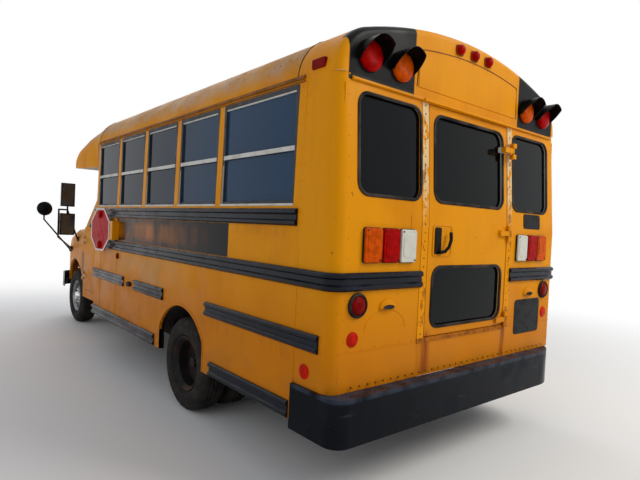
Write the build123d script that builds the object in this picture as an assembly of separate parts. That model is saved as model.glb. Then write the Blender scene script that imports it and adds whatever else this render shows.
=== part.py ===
import math
import os

from build123d import *

os.makedirs("parts", exist_ok=True)

# Short school bus on a cutaway van chassis.
# X points forward, Y to the left of the bus, Z up. The origin is on the ground below the middle.
# All sizes are in millimetres. Distances named D_ are measured forward from the rear face of the body.

# Overall
LENGTH = 6800
REAR_BUMPER_REACH = 90
BODY_LENGTH = 4210
BODY_WIDTH = 2438
ROOF_TOP = 2805
SKIRT_BOTTOM = 415
REAR_SKIRT = 636
BELT_HEIGHT = 1560
TUMBLEHOME = 14
WALL = 45
ROOF_SKIN = 40
EAVE_RADIUS = 300
CROWN_RADIUS = 3180
CORNER_RADIUS = 75
REAR_LEAN = 50
SEAT_GAP = 0.3
DOOR_GAP = 6

# Seams of the passenger body
D_CORNER_SEAM = 310
D_CAP_SEAM = 400
D_FRONT_SEAM = 4135

# Wheels
D_REAR_AXLE = 1821
WHEELBASE = 4039
TYRE_RADIUS = 372
TYRE_WIDTH = 225
RIM_RADIUS = 215
RIM_WELL_RADIUS = 190
RIM_SKIN = 8
DISC_EDGE = 110
DISC_FACE = 58
DISC_BACK = 20
HUB_BORE = 40
REAR_TRACK_OUTER = 1182
TWIN_PITCH = 268
FRONT_TRACK_OUTER = 985
KINGPIN_Y = 735

# Side windows: the rear one is longer than the four others
WINDOW_SILL = 1640
WINDOW_HEAD = 2339
WINDOW_REAR_EDGE = 379
WINDOW_FIRST_LENGTH = 866
WINDOW_LENGTH = 641
WINDOW_POST = 70
WINDOW_COUNT = 5
WINDOW_CORNER = 10
SASH_HEIGHT = 1975
SASH_BAR = 30
FRAME_WIDTH = 28
FRAME_DEPTH = 34
FRAME_CORNER = 6
GLASS = 6

# Rear wall
REAR_DOOR_HALF = 450
REAR_DOOR_BOTTOM = 876
REAR_DOOR_TOP = 2314
REAR_PANE_HALF = 394
REAR_PANE_BOTTOM = 1719
REAR_PANE_TOP = 2257
LOWER_PANE_BOTTOM = 932
LOWER_PANE_TOP = 1303
PANE_CORNER = 70
SIDE_PANE_INNER = 532
SIDE_PANE_OUTER = 1054
SIDE_PANE_BOTTOM = 1717
SIDE_PANE_TOP = 2270

# Holes for the rear plate
PLATE_Y = -805
PLATE_HEIGHT = 985
PLATE_SPACING = 178
PLATE_HOLE = 3.5

# Wheel openings and floor
ARCH_RADIUS = 472
ARCH_HALF = 400
FLOOR_TOP = 760
FLOOR_THICK = 40
WHEELHOUSE_Y = 610
WHEELHOUSE_RADIUS = 480
WHEELHOUSE_SKIN = 15
FLOOR_BEAMS = 10
FIRST_BEAM = 300
BEAM_PITCH = 405

# Rub rails
RAIL_HEIGHT = 100
RAIL_DEPTH = 22
RAIL_RIB = 26
WRAP_RAIL = 1236
WRAP_END = 510

# Chassis
RAIL_OUTER = 430
RAIL_WEB = 8
RAIL_FLANGE = 60
D_FRAME_REAR = 60
D_FRAME_FRONT = 6560
RAIL_BOTTOM = 520
RAIL_TOP = 690
CROSS_DEPTH = 80
CROSS_MEMBERS = (110, 950, 2500, 3400, 4300, 6480)
EXHAUST_HANGERS = (950, 3400, 4300)
EXHAUST_Y = -240
EXHAUST_HEIGHT = 560
TANK_STRAPS = (2700, 3450)
ENGINE_MOUNTS = (5700, 6100)
BUMPER_LOW = 375
BUMPER_HIGH = 634
BUMPER_SKIN = 8
BUMPER_FLANGE = 92
BUMPER_SIDE = 1238
BUMPER_LEFT_RADIUS = 100
BUMPER_RIGHT_RADIUS = 330
FRONT_BUMPER_LOW = 450
FRONT_BUMPER_HIGH = 665
BUMPER_BRACKET = 30
BUMPER_BRACKET_LOW = 530
BUMPER_BRACKET_HIGH = 600

# Cab
CAB_HALF = 1006
CAB_ROOF_HALF = 870
CAB_SKIN = 40
CAB_BELT = 1340
CAB_ROOF = 2130
D_COWL = 5600
D_HEADER = 5000
WINDSHIELD_SWEEP = 210
CAB_PILLAR = 35
SILL_BOTTOM = 430
D_DOOR_REAR = 4480
D_DOOR_FRONT = 5365
DOOR_BOTTOM = 540
NOSE_SKIN = 30
CAP_SKIN = 35
HOOD_HALF = 700
D_HOOD_REAR = 5680
D_HOOD_FRONT = 6520
FRONT_ARCH_RADIUS = 490
FRONT_ARCH_RISE = 50

# Entry door on the right
D_PORTAL_REAR = 4300
D_PORTAL_FRONT = 5140
PORTAL_FRAME = 60
PORTAL_DEPTH = 150
LEAF_BOTTOM = 420
LEAF_TOP = 2050
LEAF_THICK = 36
STEP_RISE = 180
STEP_RUN = 200
STEP_SKIN = 20
LEAF_GAP = 8
LEAF_STILE = 45
LEAF_CORNER = 35
LEAF_PANES = ((LEAF_BOTTOM + 90, 1130), (1210, LEAF_TOP - 70))

# Grille and headlamps
GRILLE_HALF = 430
GRILLE_LOW = 700
GRILLE_HIGH = 920
GRILLE_DEPTH = 40
GRILLE_COLUMNS = 12
GRILLE_ROWS = 4
GRILLE_BAR = 9
GRILLE_BORDER = 25
HEADLAMP_INNER = 455
HEADLAMP_OUTER = 760
HEADLAMP_REACH = 6

# Mirrors: two heads on a tube loop, and a round one ahead of them
MIRROR_D = 5500
MIRROR_Y = 1208
MIRROR_LOOP_Y = 1314
MIRROR_LOW = 1230
MIRROR_HIGH = 1600
MIRROR_FOOT_D = 6100
MIRROR_FOOT_HEIGHT = 1045
MIRROR_ARM_D = 5700
MIRROR_ARM_HEIGHT = 1200
MIRROR_TUBE = 11
MIRROR_FOOT = 60
ROUND_MIRROR_D = 6500
ROUND_MIRROR_Y = 1290
ROUND_MIRROR_HEIGHT = 1610
ROUND_MIRROR_RADIUS = 103
ROUND_MIRROR_DEPTH = 56
ROUND_FOOT_D = 6190
ROUND_FOOT_HEIGHT = 1020

# Steering wheel and column
STEERING_D = 5010
STEERING_Y = 430
STEERING_HEIGHT = 1310
COLUMN_WAY = (0.86, 0, -0.51)
COLUMN_RADIUS = 28
STEERING_RADIUS = 195
STEERING_RIM = 27
STEERING_HUB = 45

# Seats
BENCH_FIRST = 560
BENCH_PITCH = 711
BENCH_ROWS = 5
BENCH_AISLE = 180
CUSHION_BOTTOM = 330
CUSHION_THICK = 100
CUSHION_LENGTH = 350
BACK_THICK = 70
BACK_TOP = 1010
BACK_LEAN = 40
LEG_INSET = 60
LEG_WIDTH = 30
LEG_LENGTH = 40
D_DRIVER_SEAT = 4500
DRIVER_SEAT_Y = 430
DRIVER_CUSHION = 190

# Stop arm
STOP_ACROSS = 457
STOP_THICK = 10
D_STOP_HINGE = 3462
STOP_HINGE_OUT = 48
STOP_HEIGHT = 1390
STOP_TILT = 6.5
STOP_PIN = 9
STOP_EAR = 12
STOP_ROOT = 23
STOP_BRACKET = 95

# Hinges: the pin stands this far off the panel's face, over the middle of the gap
HINGE_PIN = 5
HINGE_STAND = 16
HINGE_KNUCKLE = 9
HINGE_LENGTH = 110
HINGE_MIDDLE = 36
HINGE_STRAP = 110
HINGE_PLATE = 30
HINGE_PLAY = 0.05
REAR_HINGES = (914, 1540, 2138)
DRIVER_HINGES = (720, 1200)
ENTRY_HINGES = (560, 1230, 1900)
HOOD_HINGE_Y = 560

# Lamps
WARNING_RADIUS = 89
WARNING_HEIGHT = 2478
WARNING_AMBER_Y = 717
WARNING_RED_Y = 980
HOOD_LENGTH = 120
HOOD_SKIN = 4
# What is cut from a hood's tube, from the lamp's middle on the face: (forward, up)
HOOD_CUT = ((5, -200), (-200, -200), (-200, 95), (-HOOD_LENGTH, 60), (-20, -30), (5, -30))
TAIL_LAMPS = (647, 798, 949)
TAIL_LAMP_WIDTH = 148
TAIL_LAMP_LOW = 1335
TAIL_LAMP_HIGH = 1538
TAIL_LAMP_DEPTH = 48
MARKER_LAMPS = (-165, 0, 165)
MARKER_HEIGHT = 2722
FRONT_MARKER_HEIGHT = 2440
# The lamp on the roof's round edge: distances and heights
SIDE_MARKER = ((158, 278), (2391, 2451))
SIDE_MARKER_OUT = 8
# Round lamps and reflectors: (Y or distance, height, radius, depth)
REAR_ROUNDS = ((1038, 1107, 70, 30), (1064, 923, 43, 10))
SIDE_ROUNDS = ((208, 720, 43, 10), (3352, 1130, 32, 24))

REAR_X = -LENGTH / 2 + REAR_BUMPER_REACH
HALF = BODY_WIDTH / 2
EAVE_HALF = HALF - TUMBLEHOME
EAVE_CENTRE_Y = EAVE_HALF - EAVE_RADIUS
EAVE_HEIGHT = ROOF_TOP - CROWN_RADIUS + math.sqrt((CROWN_RADIUS - EAVE_RADIUS) ** 2 - EAVE_CENTRE_Y ** 2)
D_FRONT_AXLE = D_REAR_AXLE + WHEELBASE
FRONT_BUMPER_X = LENGTH / 2
AXLE_HEIGHT = TYRE_RADIUS
BACK = (-1, 0, 0)
FRONT = (1, 0, 0)
LEFT = (0, 1, 0)
RIGHT = (0, -1, 0)
UP = (0, 0, 1)

# Rub rails on each side: (height of the middle, rear end, front end)
RUB_RAILS = (
    (1574, 330, 4150),
    (WRAP_RAIL, CORNER_RADIUS + SEAT_GAP, 4150),
    (890, 95, 1388),
    (890, 2166, 2850),
    (890, 3148, 4150),
    (470, 340, 1290),
    (470, 2328, 4150),
)

# Sections of the roof cap above the cab and of the nose:
# (distance, half width, bottom, shoulder radius, top, rise of the crown)
FRONT_CAP = (
    (BODY_LENGTH + 1, 1203, 2100, 290, 2800, 155),
    (4800, 1195, 2125, 290, 2735, 150),
    (5250, 1170, 2150, 270, 2650, 140),
    (5440, 1135, 2165, 230, 2590, 130),
    (5520, 1080, 2175, 150, 2500, 110),
)
NOSE = (
    (D_DOOR_FRONT + CAB_PILLAR + SEAT_GAP, 1006, 560, 70, 1365, 12),
    (5800, 1006, 560, 90, 1350, 14),
    (6200, 975, 560, 110, 1270, 20),
    (6450, 925, 560, 110, 1160, 24),
    (6600, 855, 560, 90, 1060, 24),
    (6650, 800, 560, 60, 990, 20),
)
NOSE_FACE = NOSE[-1][0]
NOSE_FALL = (NOSE[1][4] - NOSE[0][4]) / (NOSE[1][0] - NOSE[0][0])
HOOD_HINGE_Z = NOSE[0][4] + NOSE_FALL * (D_HOOD_REAR - NOSE[0][0]) - 5 + HINGE_STAND


def at(distance):
    """The X of a point this far ahead of the rear face."""
    return REAR_X + distance


def save(name, *shapes):
    solids = [solid for shape in shapes for solid in shape.solids()]
    export_step(Compound(solids), f"parts/{name}.step")


def block(x, y, z):
    """A box from its three (low, high) pairs."""
    size = Box(x[1] - x[0], y[1] - y[0], z[1] - z[0])
    return Pos((x[0] + x[1]) / 2, (y[0] + y[1]) / 2, (z[0] + z[1]) / 2) * size


def flat(path, plane):
    """A face from a list of corners; an entry of two points is an arc through the first to the second."""
    edges = []
    here = path[0]
    for step in path[1:] + path[:1]:
        arc = isinstance(step[0], tuple)
        goal = step[1] if arc else step
        places = [here, step[0], goal] if arc else [here, goal]
        points = [plane.from_local_coords(Vector(*p)) for p in places]
        if (points[-1] - points[0]).length > 0.001:
            edges.append(Edge.make_three_point_arc(*points) if arc else Edge.make_line(*points))
        here = goal
    return Face(Wire(edges))


def along_x(path, start, end):
    """A (y, z) outline drawn out from one X to another."""
    return Solid.extrude(flat(path, Plane.YZ.offset(start)), Vector(end - start, 0, 0))


def along_y(path, start, end):
    """An (x, z) outline drawn out from one Y to another."""
    return Solid.extrude(flat(path, Plane.XZ.offset(-start)), Vector(0, end - start, 0))


def along_z(path, start, end):
    """An (x, y) outline drawn out from one Z to another."""
    return Solid.extrude(flat(path, Plane.XY.offset(start)), Vector(0, 0, end - start))


def rounded(u, v, radius):
    """A rectangle from (low, high) pairs with round corners, as a path."""
    c = radius * (1 - math.sqrt(0.5))
    return [
        (u[0] + radius, v[0]), (u[1] - radius, v[0]),
        ((u[1] - c, v[0] + c), (u[1], v[0] + radius)), (u[1], v[1] - radius),
        ((u[1] - c, v[1] - c), (u[1] - radius, v[1])), (u[0] + radius, v[1]),
        ((u[0] + c, v[1] - c), (u[0], v[1] - radius)), (u[0], v[0] + radius),
        ((u[0] + c, v[0] + c), (u[0] + radius, v[0])),
    ]


def rod(start, end, radius):
    """A round bar between two points."""
    way = Vector(*end) - Vector(*start)
    return Solid.make_cylinder(radius, way.length, Plane(origin=start, z_dir=way))


def tube(start, end, radius, bore):
    return rod(start, end, radius) - rod(start, end, bore)


def both_sides(shape):
    return Compound([*shape.solids(), *shape.mirror(Plane.XZ).solids()])


def slope_at(height):
    """How far the rear wall leans forward at a height."""
    share = (height - BELT_HEIGHT) / (EAVE_HEIGHT - BELT_HEIGHT)
    return REAR_LEAN * max(0, share)


def side_at(height):
    """Half the outer width of the passenger body at a height."""
    share = (height - BELT_HEIGHT) / (EAVE_HEIGHT - BELT_HEIGHT)
    return HALF - TUMBLEHOME * max(0, share)


def hinge_place(x, y, z, outward, turn_axis):
    """A frame on a hinge pin: X toward the moving panel, Y outward and Z along the pin."""
    return Plane(origin=(x, y, z), x_dir=Vector(*outward).cross(Vector(*turn_axis)), z_dir=turn_axis)


def hinge_strap(place, sink=0):
    """The moving half of a hinge: the pin, its middle knuckle and a strap down to the panel."""
    half = HINGE_MIDDLE / 2
    knuckle = rod((0, 0, -half), (0, 0, half), HINGE_KNUCKLE)
    pin = rod((0, 0, -HINGE_LENGTH / 2), (0, 0, HINGE_LENGTH / 2), HINGE_PIN)
    strap = block((0, HINGE_STRAP), (-HINGE_PIN, HINGE_PIN), (-half, half))
    foot = block((HINGE_STAND, HINGE_STRAP), (-HINGE_STAND - sink - 4, HINGE_PIN), (-half, half))
    return place * (knuckle + pin + strap + foot)


def hinge_bracket(place, sink=0):
    """The fixed half of a hinge: two knuckles with a plate down to the panel beside the gap."""
    gap = 5
    part = None
    for way in (-1, 1):
        span = sorted((way * HINGE_LENGTH / 2, way * (HINGE_MIDDLE / 2 + gap)))
        knuckle = rod((0, 0, span[0]), (0, 0, span[1]), HINGE_KNUCKLE)
        knuckle += block((-HINGE_PLATE, 0), (-HINGE_STAND - sink - 4, HINGE_KNUCKLE), span)
        part = knuckle if part is None else part + knuckle
    part -= rod((0, 0, -HINGE_LENGTH), (0, 0, HINGE_LENGTH), HINGE_PIN + HINGE_PLAY)
    return [(place * solid) for solid in part.solids()]


def rear_hinge(height):
    pin_y = -REAR_DOOR_HALF - DOOR_GAP / 2
    return hinge_place(at(-HINGE_STAND), pin_y, height, BACK, (0, 0, 1))


def driver_hinge(height):
    return hinge_place(at(D_DOOR_FRONT) + DOOR_GAP / 2, CAB_HALF + HINGE_STAND, height, LEFT, (0, 0, -1))


def entry_hinge(side_x, turn, height):
    return hinge_place(side_x, -CAB_HALF - HINGE_STAND, height, RIGHT, (0, 0, turn))


def entry_hinge_rows():
    """(X of the pin, way the leaf turns) of the rear and of the front leaf."""
    rear, front = portal_span(PORTAL_FRAME + DOOR_GAP / 2)
    return (rear, -1), (front, 1)


def hood_hinge(y):
    return hinge_place(at(D_HOOD_REAR) - DOOR_GAP / 2, y, HOOD_HINGE_Z, UP, (0, -1, 0))


# Passenger body
def end_outline(face, seam, half, radius):
    """Plan of one end of the body, with round corners, from the side seams to the end face."""
    way = 1 if seam > face else -1
    c = radius * (1 - math.sqrt(0.5))
    return [
        (seam, half), (face + way * radius, half),
        ((face + way * c, half - c), (face, half - radius)), (face, -half + radius),
        ((face + way * c, -half + c), (face + way * radius, -half)), (seam, -half),
    ]


def end_part(face, seam, lean, bottom):
    """A hollow end of the body below the eaves: upright to the belt, then leaning."""
    way = 1 if seam > face else -1
    shells = []
    for inset in (0, WALL):
        over = 50 if inset else 0
        radius = CORNER_RADIUS - inset
        low = end_outline(face + way * inset, seam + way * over, HALF - inset, radius)
        top = end_outline(face + way * (inset + lean), seam + way * over, EAVE_HALF - inset, radius)
        lower = along_z(low, bottom - over, BELT_HEIGHT)
        upper = Solid.make_loft(
            [
                flat(low, Plane.XY.offset(BELT_HEIGHT)).outer_wire(),
                flat(top, Plane.XY.offset(EAVE_HEIGHT)).outer_wire(),
            ],
            ruled=True,
        )
        shells.append(lower + upper)
    return shells[0] - shells[1]


def roof_path(inset, bottom):
    """Closed section of the roof, inset from the outer skin."""
    crown = CROWN_RADIUS - inset
    eave = EAVE_RADIUS - inset
    centre = ROOF_TOP - CROWN_RADIUS
    half_angle = math.asin(EAVE_CENTRE_Y / (CROWN_RADIUS - EAVE_RADIUS))
    join = (crown * math.sin(half_angle), centre + crown * math.cos(half_angle))
    bend = math.pi / 2 - half_angle
    mid_angle = bend / 2
    mid = (EAVE_CENTRE_Y + eave * math.cos(mid_angle), EAVE_HEIGHT + eave * math.sin(mid_angle))
    wall = EAVE_CENTRE_Y + eave
    return [
        (wall, bottom), (wall, EAVE_HEIGHT), (mid, join), ((0, centre + crown), (-join[0], join[1])),
        ((-mid[0], mid[1]), (-wall, EAVE_HEIGHT)), (-wall, bottom),
    ]


def roof_shell(start, end):
    inner = along_x(roof_path(ROOF_SKIN, EAVE_HEIGHT - 50), start - 50, end + 50)
    return along_x(roof_path(0, EAVE_HEIGHT), start, end) - inner


def window_spans():
    """(rear, front) distances of each side window opening."""
    spans = [(WINDOW_REAR_EDGE, WINDOW_REAR_EDGE + WINDOW_FIRST_LENGTH)]
    while len(spans) < WINDOW_COUNT:
        rear = spans[-1][1] + WINDOW_POST
        spans.append((rear, rear + WINDOW_LENGTH))
    return spans


def wall_path(inset_out, inset_in, bottom, top):
    """Section of a left wall or of something that follows it, between two insets from the outer skin."""
    heights = (bottom, BELT_HEIGHT, top)
    outer = [(side_at(height) - inset_out, height) for height in heights]
    inner = [(side_at(height) - inset_in, height) for height in heights]
    return outer + inner[::-1]


def side_wall():
    """The left wall with its window and wheel openings."""
    wall = along_x(wall_path(0, WALL, SKIRT_BOTTOM, EAVE_HEIGHT), at(D_CORNER_SEAM), at(D_FRONT_SEAM))
    for rear, front in window_spans():
        opening = rounded((at(rear), at(front)), (WINDOW_SILL, WINDOW_HEAD), WINDOW_CORNER)
        wall -= along_y(opening, HALF - 2 * WALL, HALF + WALL)
    arch = Pos(at(D_REAR_AXLE), HALF, AXLE_HEIGHT) * Rot(90, 0, 0) * Cylinder(ARCH_RADIUS, 4 * WALL)
    notch = block((at(D_REAR_AXLE) - ARCH_HALF, at(D_REAR_AXLE) + ARCH_HALF), (HALF - 2 * WALL, HALF + WALL),
                  (SKIRT_BOTTOM - WALL, ROOF_TOP))
    return wall - (arch & notch)


def side_frames():
    """Left window frames with a sash bar, seated inside the wall openings."""
    frames = []
    centre = side_at(WINDOW_SILL) - WALL / 2 - TUMBLEHOME / 4
    for rear, front in window_spans():
        span = (at(rear) + SEAT_GAP, at(front) - SEAT_GAP)
        rise = (WINDOW_SILL + SEAT_GAP, WINDOW_HEAD - SEAT_GAP)
        outer = rounded(span, rise, WINDOW_CORNER)
        frame = along_y(outer, centre - FRAME_DEPTH / 2, centre + FRAME_DEPTH / 2)
        inside = (span[0] + FRAME_WIDTH, span[1] - FRAME_WIDTH)
        lower = (rise[0] + FRAME_WIDTH, SASH_HEIGHT - SASH_BAR / 2)
        upper = (SASH_HEIGHT + SASH_BAR / 2, rise[1] - FRAME_WIDTH)
        for heights in (lower, upper):
            hole = rounded(inside, heights, FRAME_CORNER)
            frame -= along_y(hole, centre - FRAME_DEPTH, centre + FRAME_DEPTH)
        frames.append(frame)
    return frames, centre


def side_panes(centre):
    """Left window glass: an upper and a lower pane in each frame."""
    panes = []
    for rear, front in window_spans():
        span = (at(rear) + 2 * SEAT_GAP + FRAME_WIDTH, at(front) - 2 * SEAT_GAP - FRAME_WIDTH)
        low_edge = WINDOW_SILL + FRAME_WIDTH + 2 * SEAT_GAP
        high_edge = WINDOW_HEAD - FRAME_WIDTH - 2 * SEAT_GAP
        mid = SASH_BAR / 2 + SEAT_GAP
        for low, high in ((low_edge, SASH_HEIGHT - mid), (SASH_HEIGHT + mid, high_edge)):
            pane = rounded(span, (low, high), FRAME_CORNER)
            panes.append(along_y(pane, centre - GLASS / 2, centre + GLASS / 2))
    return panes


def rear_skin(start, end, bottom, top):
    """A slab that follows the rear wall between two depths behind its outer face."""
    path = [
        (at(start) + slope_at(bottom), bottom), (at(start) + slope_at(BELT_HEIGHT), BELT_HEIGHT),
        (at(start) + slope_at(top), top), (at(end) + slope_at(top), top),
        (at(end) + slope_at(BELT_HEIGHT), BELT_HEIGHT), (at(end) + slope_at(bottom), bottom),
    ]
    return along_y([p for i, p in enumerate(path) if p not in path[:i]], -HALF, HALF)


def bumper_bracket_rows():
    return -RAIL_OUTER + BUMPER_BRACKET, RAIL_OUTER - BUMPER_BRACKET


def rear_wall():
    wall = end_part(at(0), at(D_CORNER_SEAM), REAR_LEAN, REAR_SKIRT)
    reach = (at(-WALL), at(D_CORNER_SEAM) - WALL)
    gap = DOOR_GAP
    doorway = (-REAR_DOOR_HALF - gap, REAR_DOOR_HALF + gap)
    wall -= block(reach, doorway, (REAR_DOOR_BOTTOM - gap, REAR_DOOR_TOP + gap))
    pane = rounded((SIDE_PANE_INNER, SIDE_PANE_OUTER), (SIDE_PANE_BOTTOM, SIDE_PANE_TOP), PANE_CORNER)
    wall -= both_sides(along_x(pane, *reach))
    for y in (PLATE_Y - PLATE_SPACING / 2, PLATE_Y + PLATE_SPACING / 2):
        wall -= rod((at(-WALL), y, PLATE_HEIGHT), (at(2 * WALL), y, PLATE_HEIGHT), PLATE_HOLE)
    for height in REAR_HINGES:
        for half in hinge_bracket(rear_hinge(height), slope_at(height)):
            wall += half
    return wall


def rear_door():
    door = rear_skin(0, WALL, REAR_DOOR_BOTTOM, REAR_DOOR_TOP)
    door &= block((at(-WALL), at(4 * WALL)), (-REAR_DOOR_HALF, REAR_DOOR_HALF), (0, ROOF_TOP))
    reach = (at(-WALL), at(4 * WALL))
    for low, high in ((REAR_PANE_BOTTOM, REAR_PANE_TOP), (LOWER_PANE_BOTTOM, LOWER_PANE_TOP)):
        door -= along_x(rounded((-REAR_PANE_HALF, REAR_PANE_HALF), (low, high), PANE_CORNER), *reach)
    for height in REAR_HINGES:
        door += hinge_strap(rear_hinge(height), slope_at(height))
    return door


def pane_in_rear(y, z, inset):
    """A pane filling a rear opening to a small clearance, a little behind the outer face."""
    path = rounded((y[0] + SEAT_GAP, y[1] - SEAT_GAP), (z[0] + SEAT_GAP, z[1] - SEAT_GAP), PANE_CORNER)
    return along_x(path, at(-WALL), at(4 * WALL)) & rear_skin(inset, inset + GLASS, z[0] - 5, z[1] + 5)


def rear_cap():
    """The roof's rounded rear end with its closing face."""
    start = at(REAR_LEAN)
    outer = along_x(roof_path(0, EAVE_HEIGHT), start, at(D_CAP_SEAM))
    edges = [e for e in outer.faces().sort_by(Axis.X)[0].edges() if e.center().Z > EAVE_HEIGHT + 1]
    outer = outer.fillet(CORNER_RADIUS * 0.6, edges)
    inner = along_x(roof_path(ROOF_SKIN, EAVE_HEIGHT - 50), start + WALL, at(D_CAP_SEAM) + 50)
    return outer - inner


def front_wall():
    """Transition from the wide body to the narrower cab."""
    wall = end_part(at(BODY_LENGTH), at(D_FRONT_SEAM), 0, SKIRT_BOTTOM)
    half = CAB_ROOF_HALF - 50
    return wall - block((at(D_FRONT_SEAM) - 50, at(BODY_LENGTH) + 50), (-half, half), (0, CAB_ROOF - 60))


def hull_section(distance, half, bottom, shoulder, top, crown_rise):
    """A face across the bus: straight sides, round shoulders and a gently crowned top."""
    shoulder_z = top - crown_rise
    c = shoulder * (1 - math.sqrt(0.5))
    path = [
        (half, bottom), (half, shoulder_z - shoulder),
        ((half - c, shoulder_z - c), (half - shoulder, shoulder_z)),
        ((0, top), (-half + shoulder, shoulder_z)),
        ((-half + c, shoulder_z - c), (-half, shoulder_z - shoulder)), (-half, bottom),
    ]
    return flat(path, Plane.YZ.offset(at(distance)))


def hull(rows, skin=0, back=0, front=0, drop=0):
    """A lofted body from rows of sections, or the space inside it for a skin."""
    last = len(rows) - 1
    wires = []
    for i, (distance, half, bottom, shoulder, top, rise) in enumerate(rows):
        distance -= (back if i == 0 else 0) + (front if i == last else 0)
        section = hull_section(distance, half - skin, bottom - drop, shoulder - skin / 2, top - skin, rise)
        wires.append(section.outer_wire())
    return Solid.make_loft(wires, ruled=True)


def front_cap():
    shell = hull(FRONT_CAP) - hull(FRONT_CAP, CAP_SKIN, back=60, front=CAP_SKIN, drop=-CAP_SKIN)
    shell -= cab_envelope(0)
    return shell + roof_shell(at(D_FRONT_SEAM), at(BODY_LENGTH) + 1)


# Cab
def cab_across(inset):
    """Section of the cab across the bus, leaning in above the belt."""
    half = CAB_HALF - inset
    roof = CAB_ROOF_HALF - inset
    top = CAB_ROOF - inset
    path = [(half, SILL_BOTTOM - inset), (half, CAB_BELT), (roof + 20, top - 60), (roof - 40, top)]
    return path + [(-y, z) for y, z in reversed(path)]


def cab_envelope(inset):
    """The cab without its nose, or the space inside it for a skin."""
    back = at(BODY_LENGTH) + SEAT_GAP - 2 * inset
    box_front = at(D_DOOR_FRONT) + CAB_PILLAR - inset
    section = along_x(cab_across(inset), back, at(D_COWL) + 100)
    lower = block((back, box_front), (-CAB_HALF, CAB_HALF), (0, CAB_BELT + 30))
    lean = Vector(at(D_HEADER) - at(D_COWL), 0, CAB_ROOF - CAB_BELT)
    middle = at(D_COWL) - 1.3 * inset
    ends = middle - WINDSHIELD_SWEEP
    root = back + 1000
    plan = [(root, -CAB_HALF), (ends, -CAB_HALF), ((middle, 0), (ends, CAB_HALF)), (root, CAB_HALF)]
    upper = Solid.extrude(flat(plan, Plane.XY.offset(CAB_BELT)), lean)
    upper += block((back, at(D_HEADER) - WINDSHIELD_SWEEP - 60), (-CAB_HALF, CAB_HALF), (CAB_BELT, CAB_ROOF))
    return (lower + upper) & section


def windshield_slab(depth, thick):
    """A sheet that follows the windshield, this deep behind its outer face."""
    lean = Vector(at(D_HEADER) - at(D_COWL), 0, CAB_ROOF - CAB_BELT)
    sheets = []
    for inset in (depth, depth + thick):
        front = at(D_COWL) - 1.3 * inset
        plan = [
            (front - 900, -CAB_HALF), (front - WINDSHIELD_SWEEP, -CAB_HALF),
            ((front, 0), (front - WINDSHIELD_SWEEP, CAB_HALF)), (front - 900, CAB_HALF),
        ]
        sheets.append(Solid.extrude(flat(plan, Plane.XY.offset(CAB_BELT)), lean))
    return sheets[0] - (sheets[1] + Pos(-100, 0, 0) * sheets[1])


def windshield_path(inset):
    """Outline of the windshield as seen from the front."""
    low = NOSE[0][4] + 45 + inset
    high = CAB_ROOF - 110 - inset
    wide = 860 - inset
    narrow = 765 - inset
    return [(wide, low), (narrow, high), (-narrow, high), (-wide, low)]


def door_outline(grow):
    """Side view of the driver's door."""
    rear = at(D_DOOR_REAR) - grow
    front = at(D_DOOR_FRONT) + grow
    low = DOOR_BOTTOM - grow
    high = CAB_ROOF - 90 + grow
    pillar = at(D_HEADER) - WINDSHIELD_SWEEP
    return [
        (rear, low), (front - 60, low), (front, low + 60), (front, CAB_BELT + 20),
        (pillar + 40 + grow, high - 60), (pillar - 30, high), (rear, high),
    ]


def door_pane_outline(inset):
    pillar = at(D_HEADER) - WINDSHIELD_SWEEP
    low = CAB_BELT + 40 + inset
    high = CAB_ROOF - 160 - inset
    rear = at(D_DOOR_REAR) + 80 + inset
    return [(rear, low), (at(D_DOOR_FRONT) - 120 - inset, low), (pillar - 60 - inset, high), (rear, high)]


def cab_walls():
    return cab_envelope(0) - cab_envelope(CAB_SKIN)


def cab_side(clearance):
    """The side walls of the cab along the door, thicker by a clearance on each face."""
    span = (at(D_DOOR_REAR) - 2 * DOOR_GAP, at(D_DOOR_FRONT) + 2 * DOOR_GAP)
    return along_x(cab_across(-clearance), *span) - along_x(cab_across(CAB_SKIN + clearance), *span)


def left_part(path):
    """An (x, z) outline drawn out through the left side only."""
    return along_y(path, CAB_ROOF_HALF - 150, CAB_HALF + 100)


def portal_span(inset):
    return (at(D_PORTAL_REAR) + inset, at(D_PORTAL_FRONT) - inset)


def entry_portal():
    """Upright box frame that carries the two entry door leaves."""
    outer = block(portal_span(0), (-CAB_HALF, -CAB_HALF + PORTAL_DEPTH), (SILL_BOTTOM, CAB_ROOF - 40))
    inner = block(portal_span(PORTAL_FRAME), (-CAB_HALF - 50, 0), (0, LEAF_TOP + DOOR_GAP))
    return outer - inner


def quarter_window(inset):
    """The small window between the entry door and the windshield, drawn in by an inset."""
    rear = at(D_PORTAL_FRONT) + 60
    front = at(D_DOOR_FRONT) - 60
    low = CAB_BELT + 60 + inset
    path = [(rear + inset, low), (front - 3 * inset, low), (rear + inset, low + 190 - 3 * inset)]
    return along_y(path, -CAB_HALF - 50, -CAB_ROOF_HALF)


def cab_shell():
    shell = cab_walls() - hull(NOSE)
    shell -= cab_side(DOOR_GAP) & left_part(door_outline(DOOR_GAP))
    shell -= along_x(windshield_path(0), at(D_HEADER) - 300, at(D_COWL) + 100)
    half = CAB_HALF - 80
    shell -= block((at(BODY_LENGTH), at(D_COWL)), (-half, half), (0, FLOOR_TOP - FLOOR_THICK))
    shell -= block(portal_span(0), (-CAB_HALF - 50, -CAB_HALF + PORTAL_DEPTH), (0, CAB_ROOF - 40))
    shell -= quarter_window(0)
    shell += entry_portal()
    halves = [half for height in DRIVER_HINGES for half in hinge_bracket(driver_hinge(height))]
    for pin_x, turn in entry_hinge_rows():
        for height in ENTRY_HINGES:
            halves += hinge_bracket(entry_hinge(pin_x, turn, height))
    for half in halves:
        shell += half
    return shell


def quarter_pane():
    return quarter_window(2 * SEAT_GAP) & (cab_envelope(15) - cab_envelope(15 + GLASS))


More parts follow.
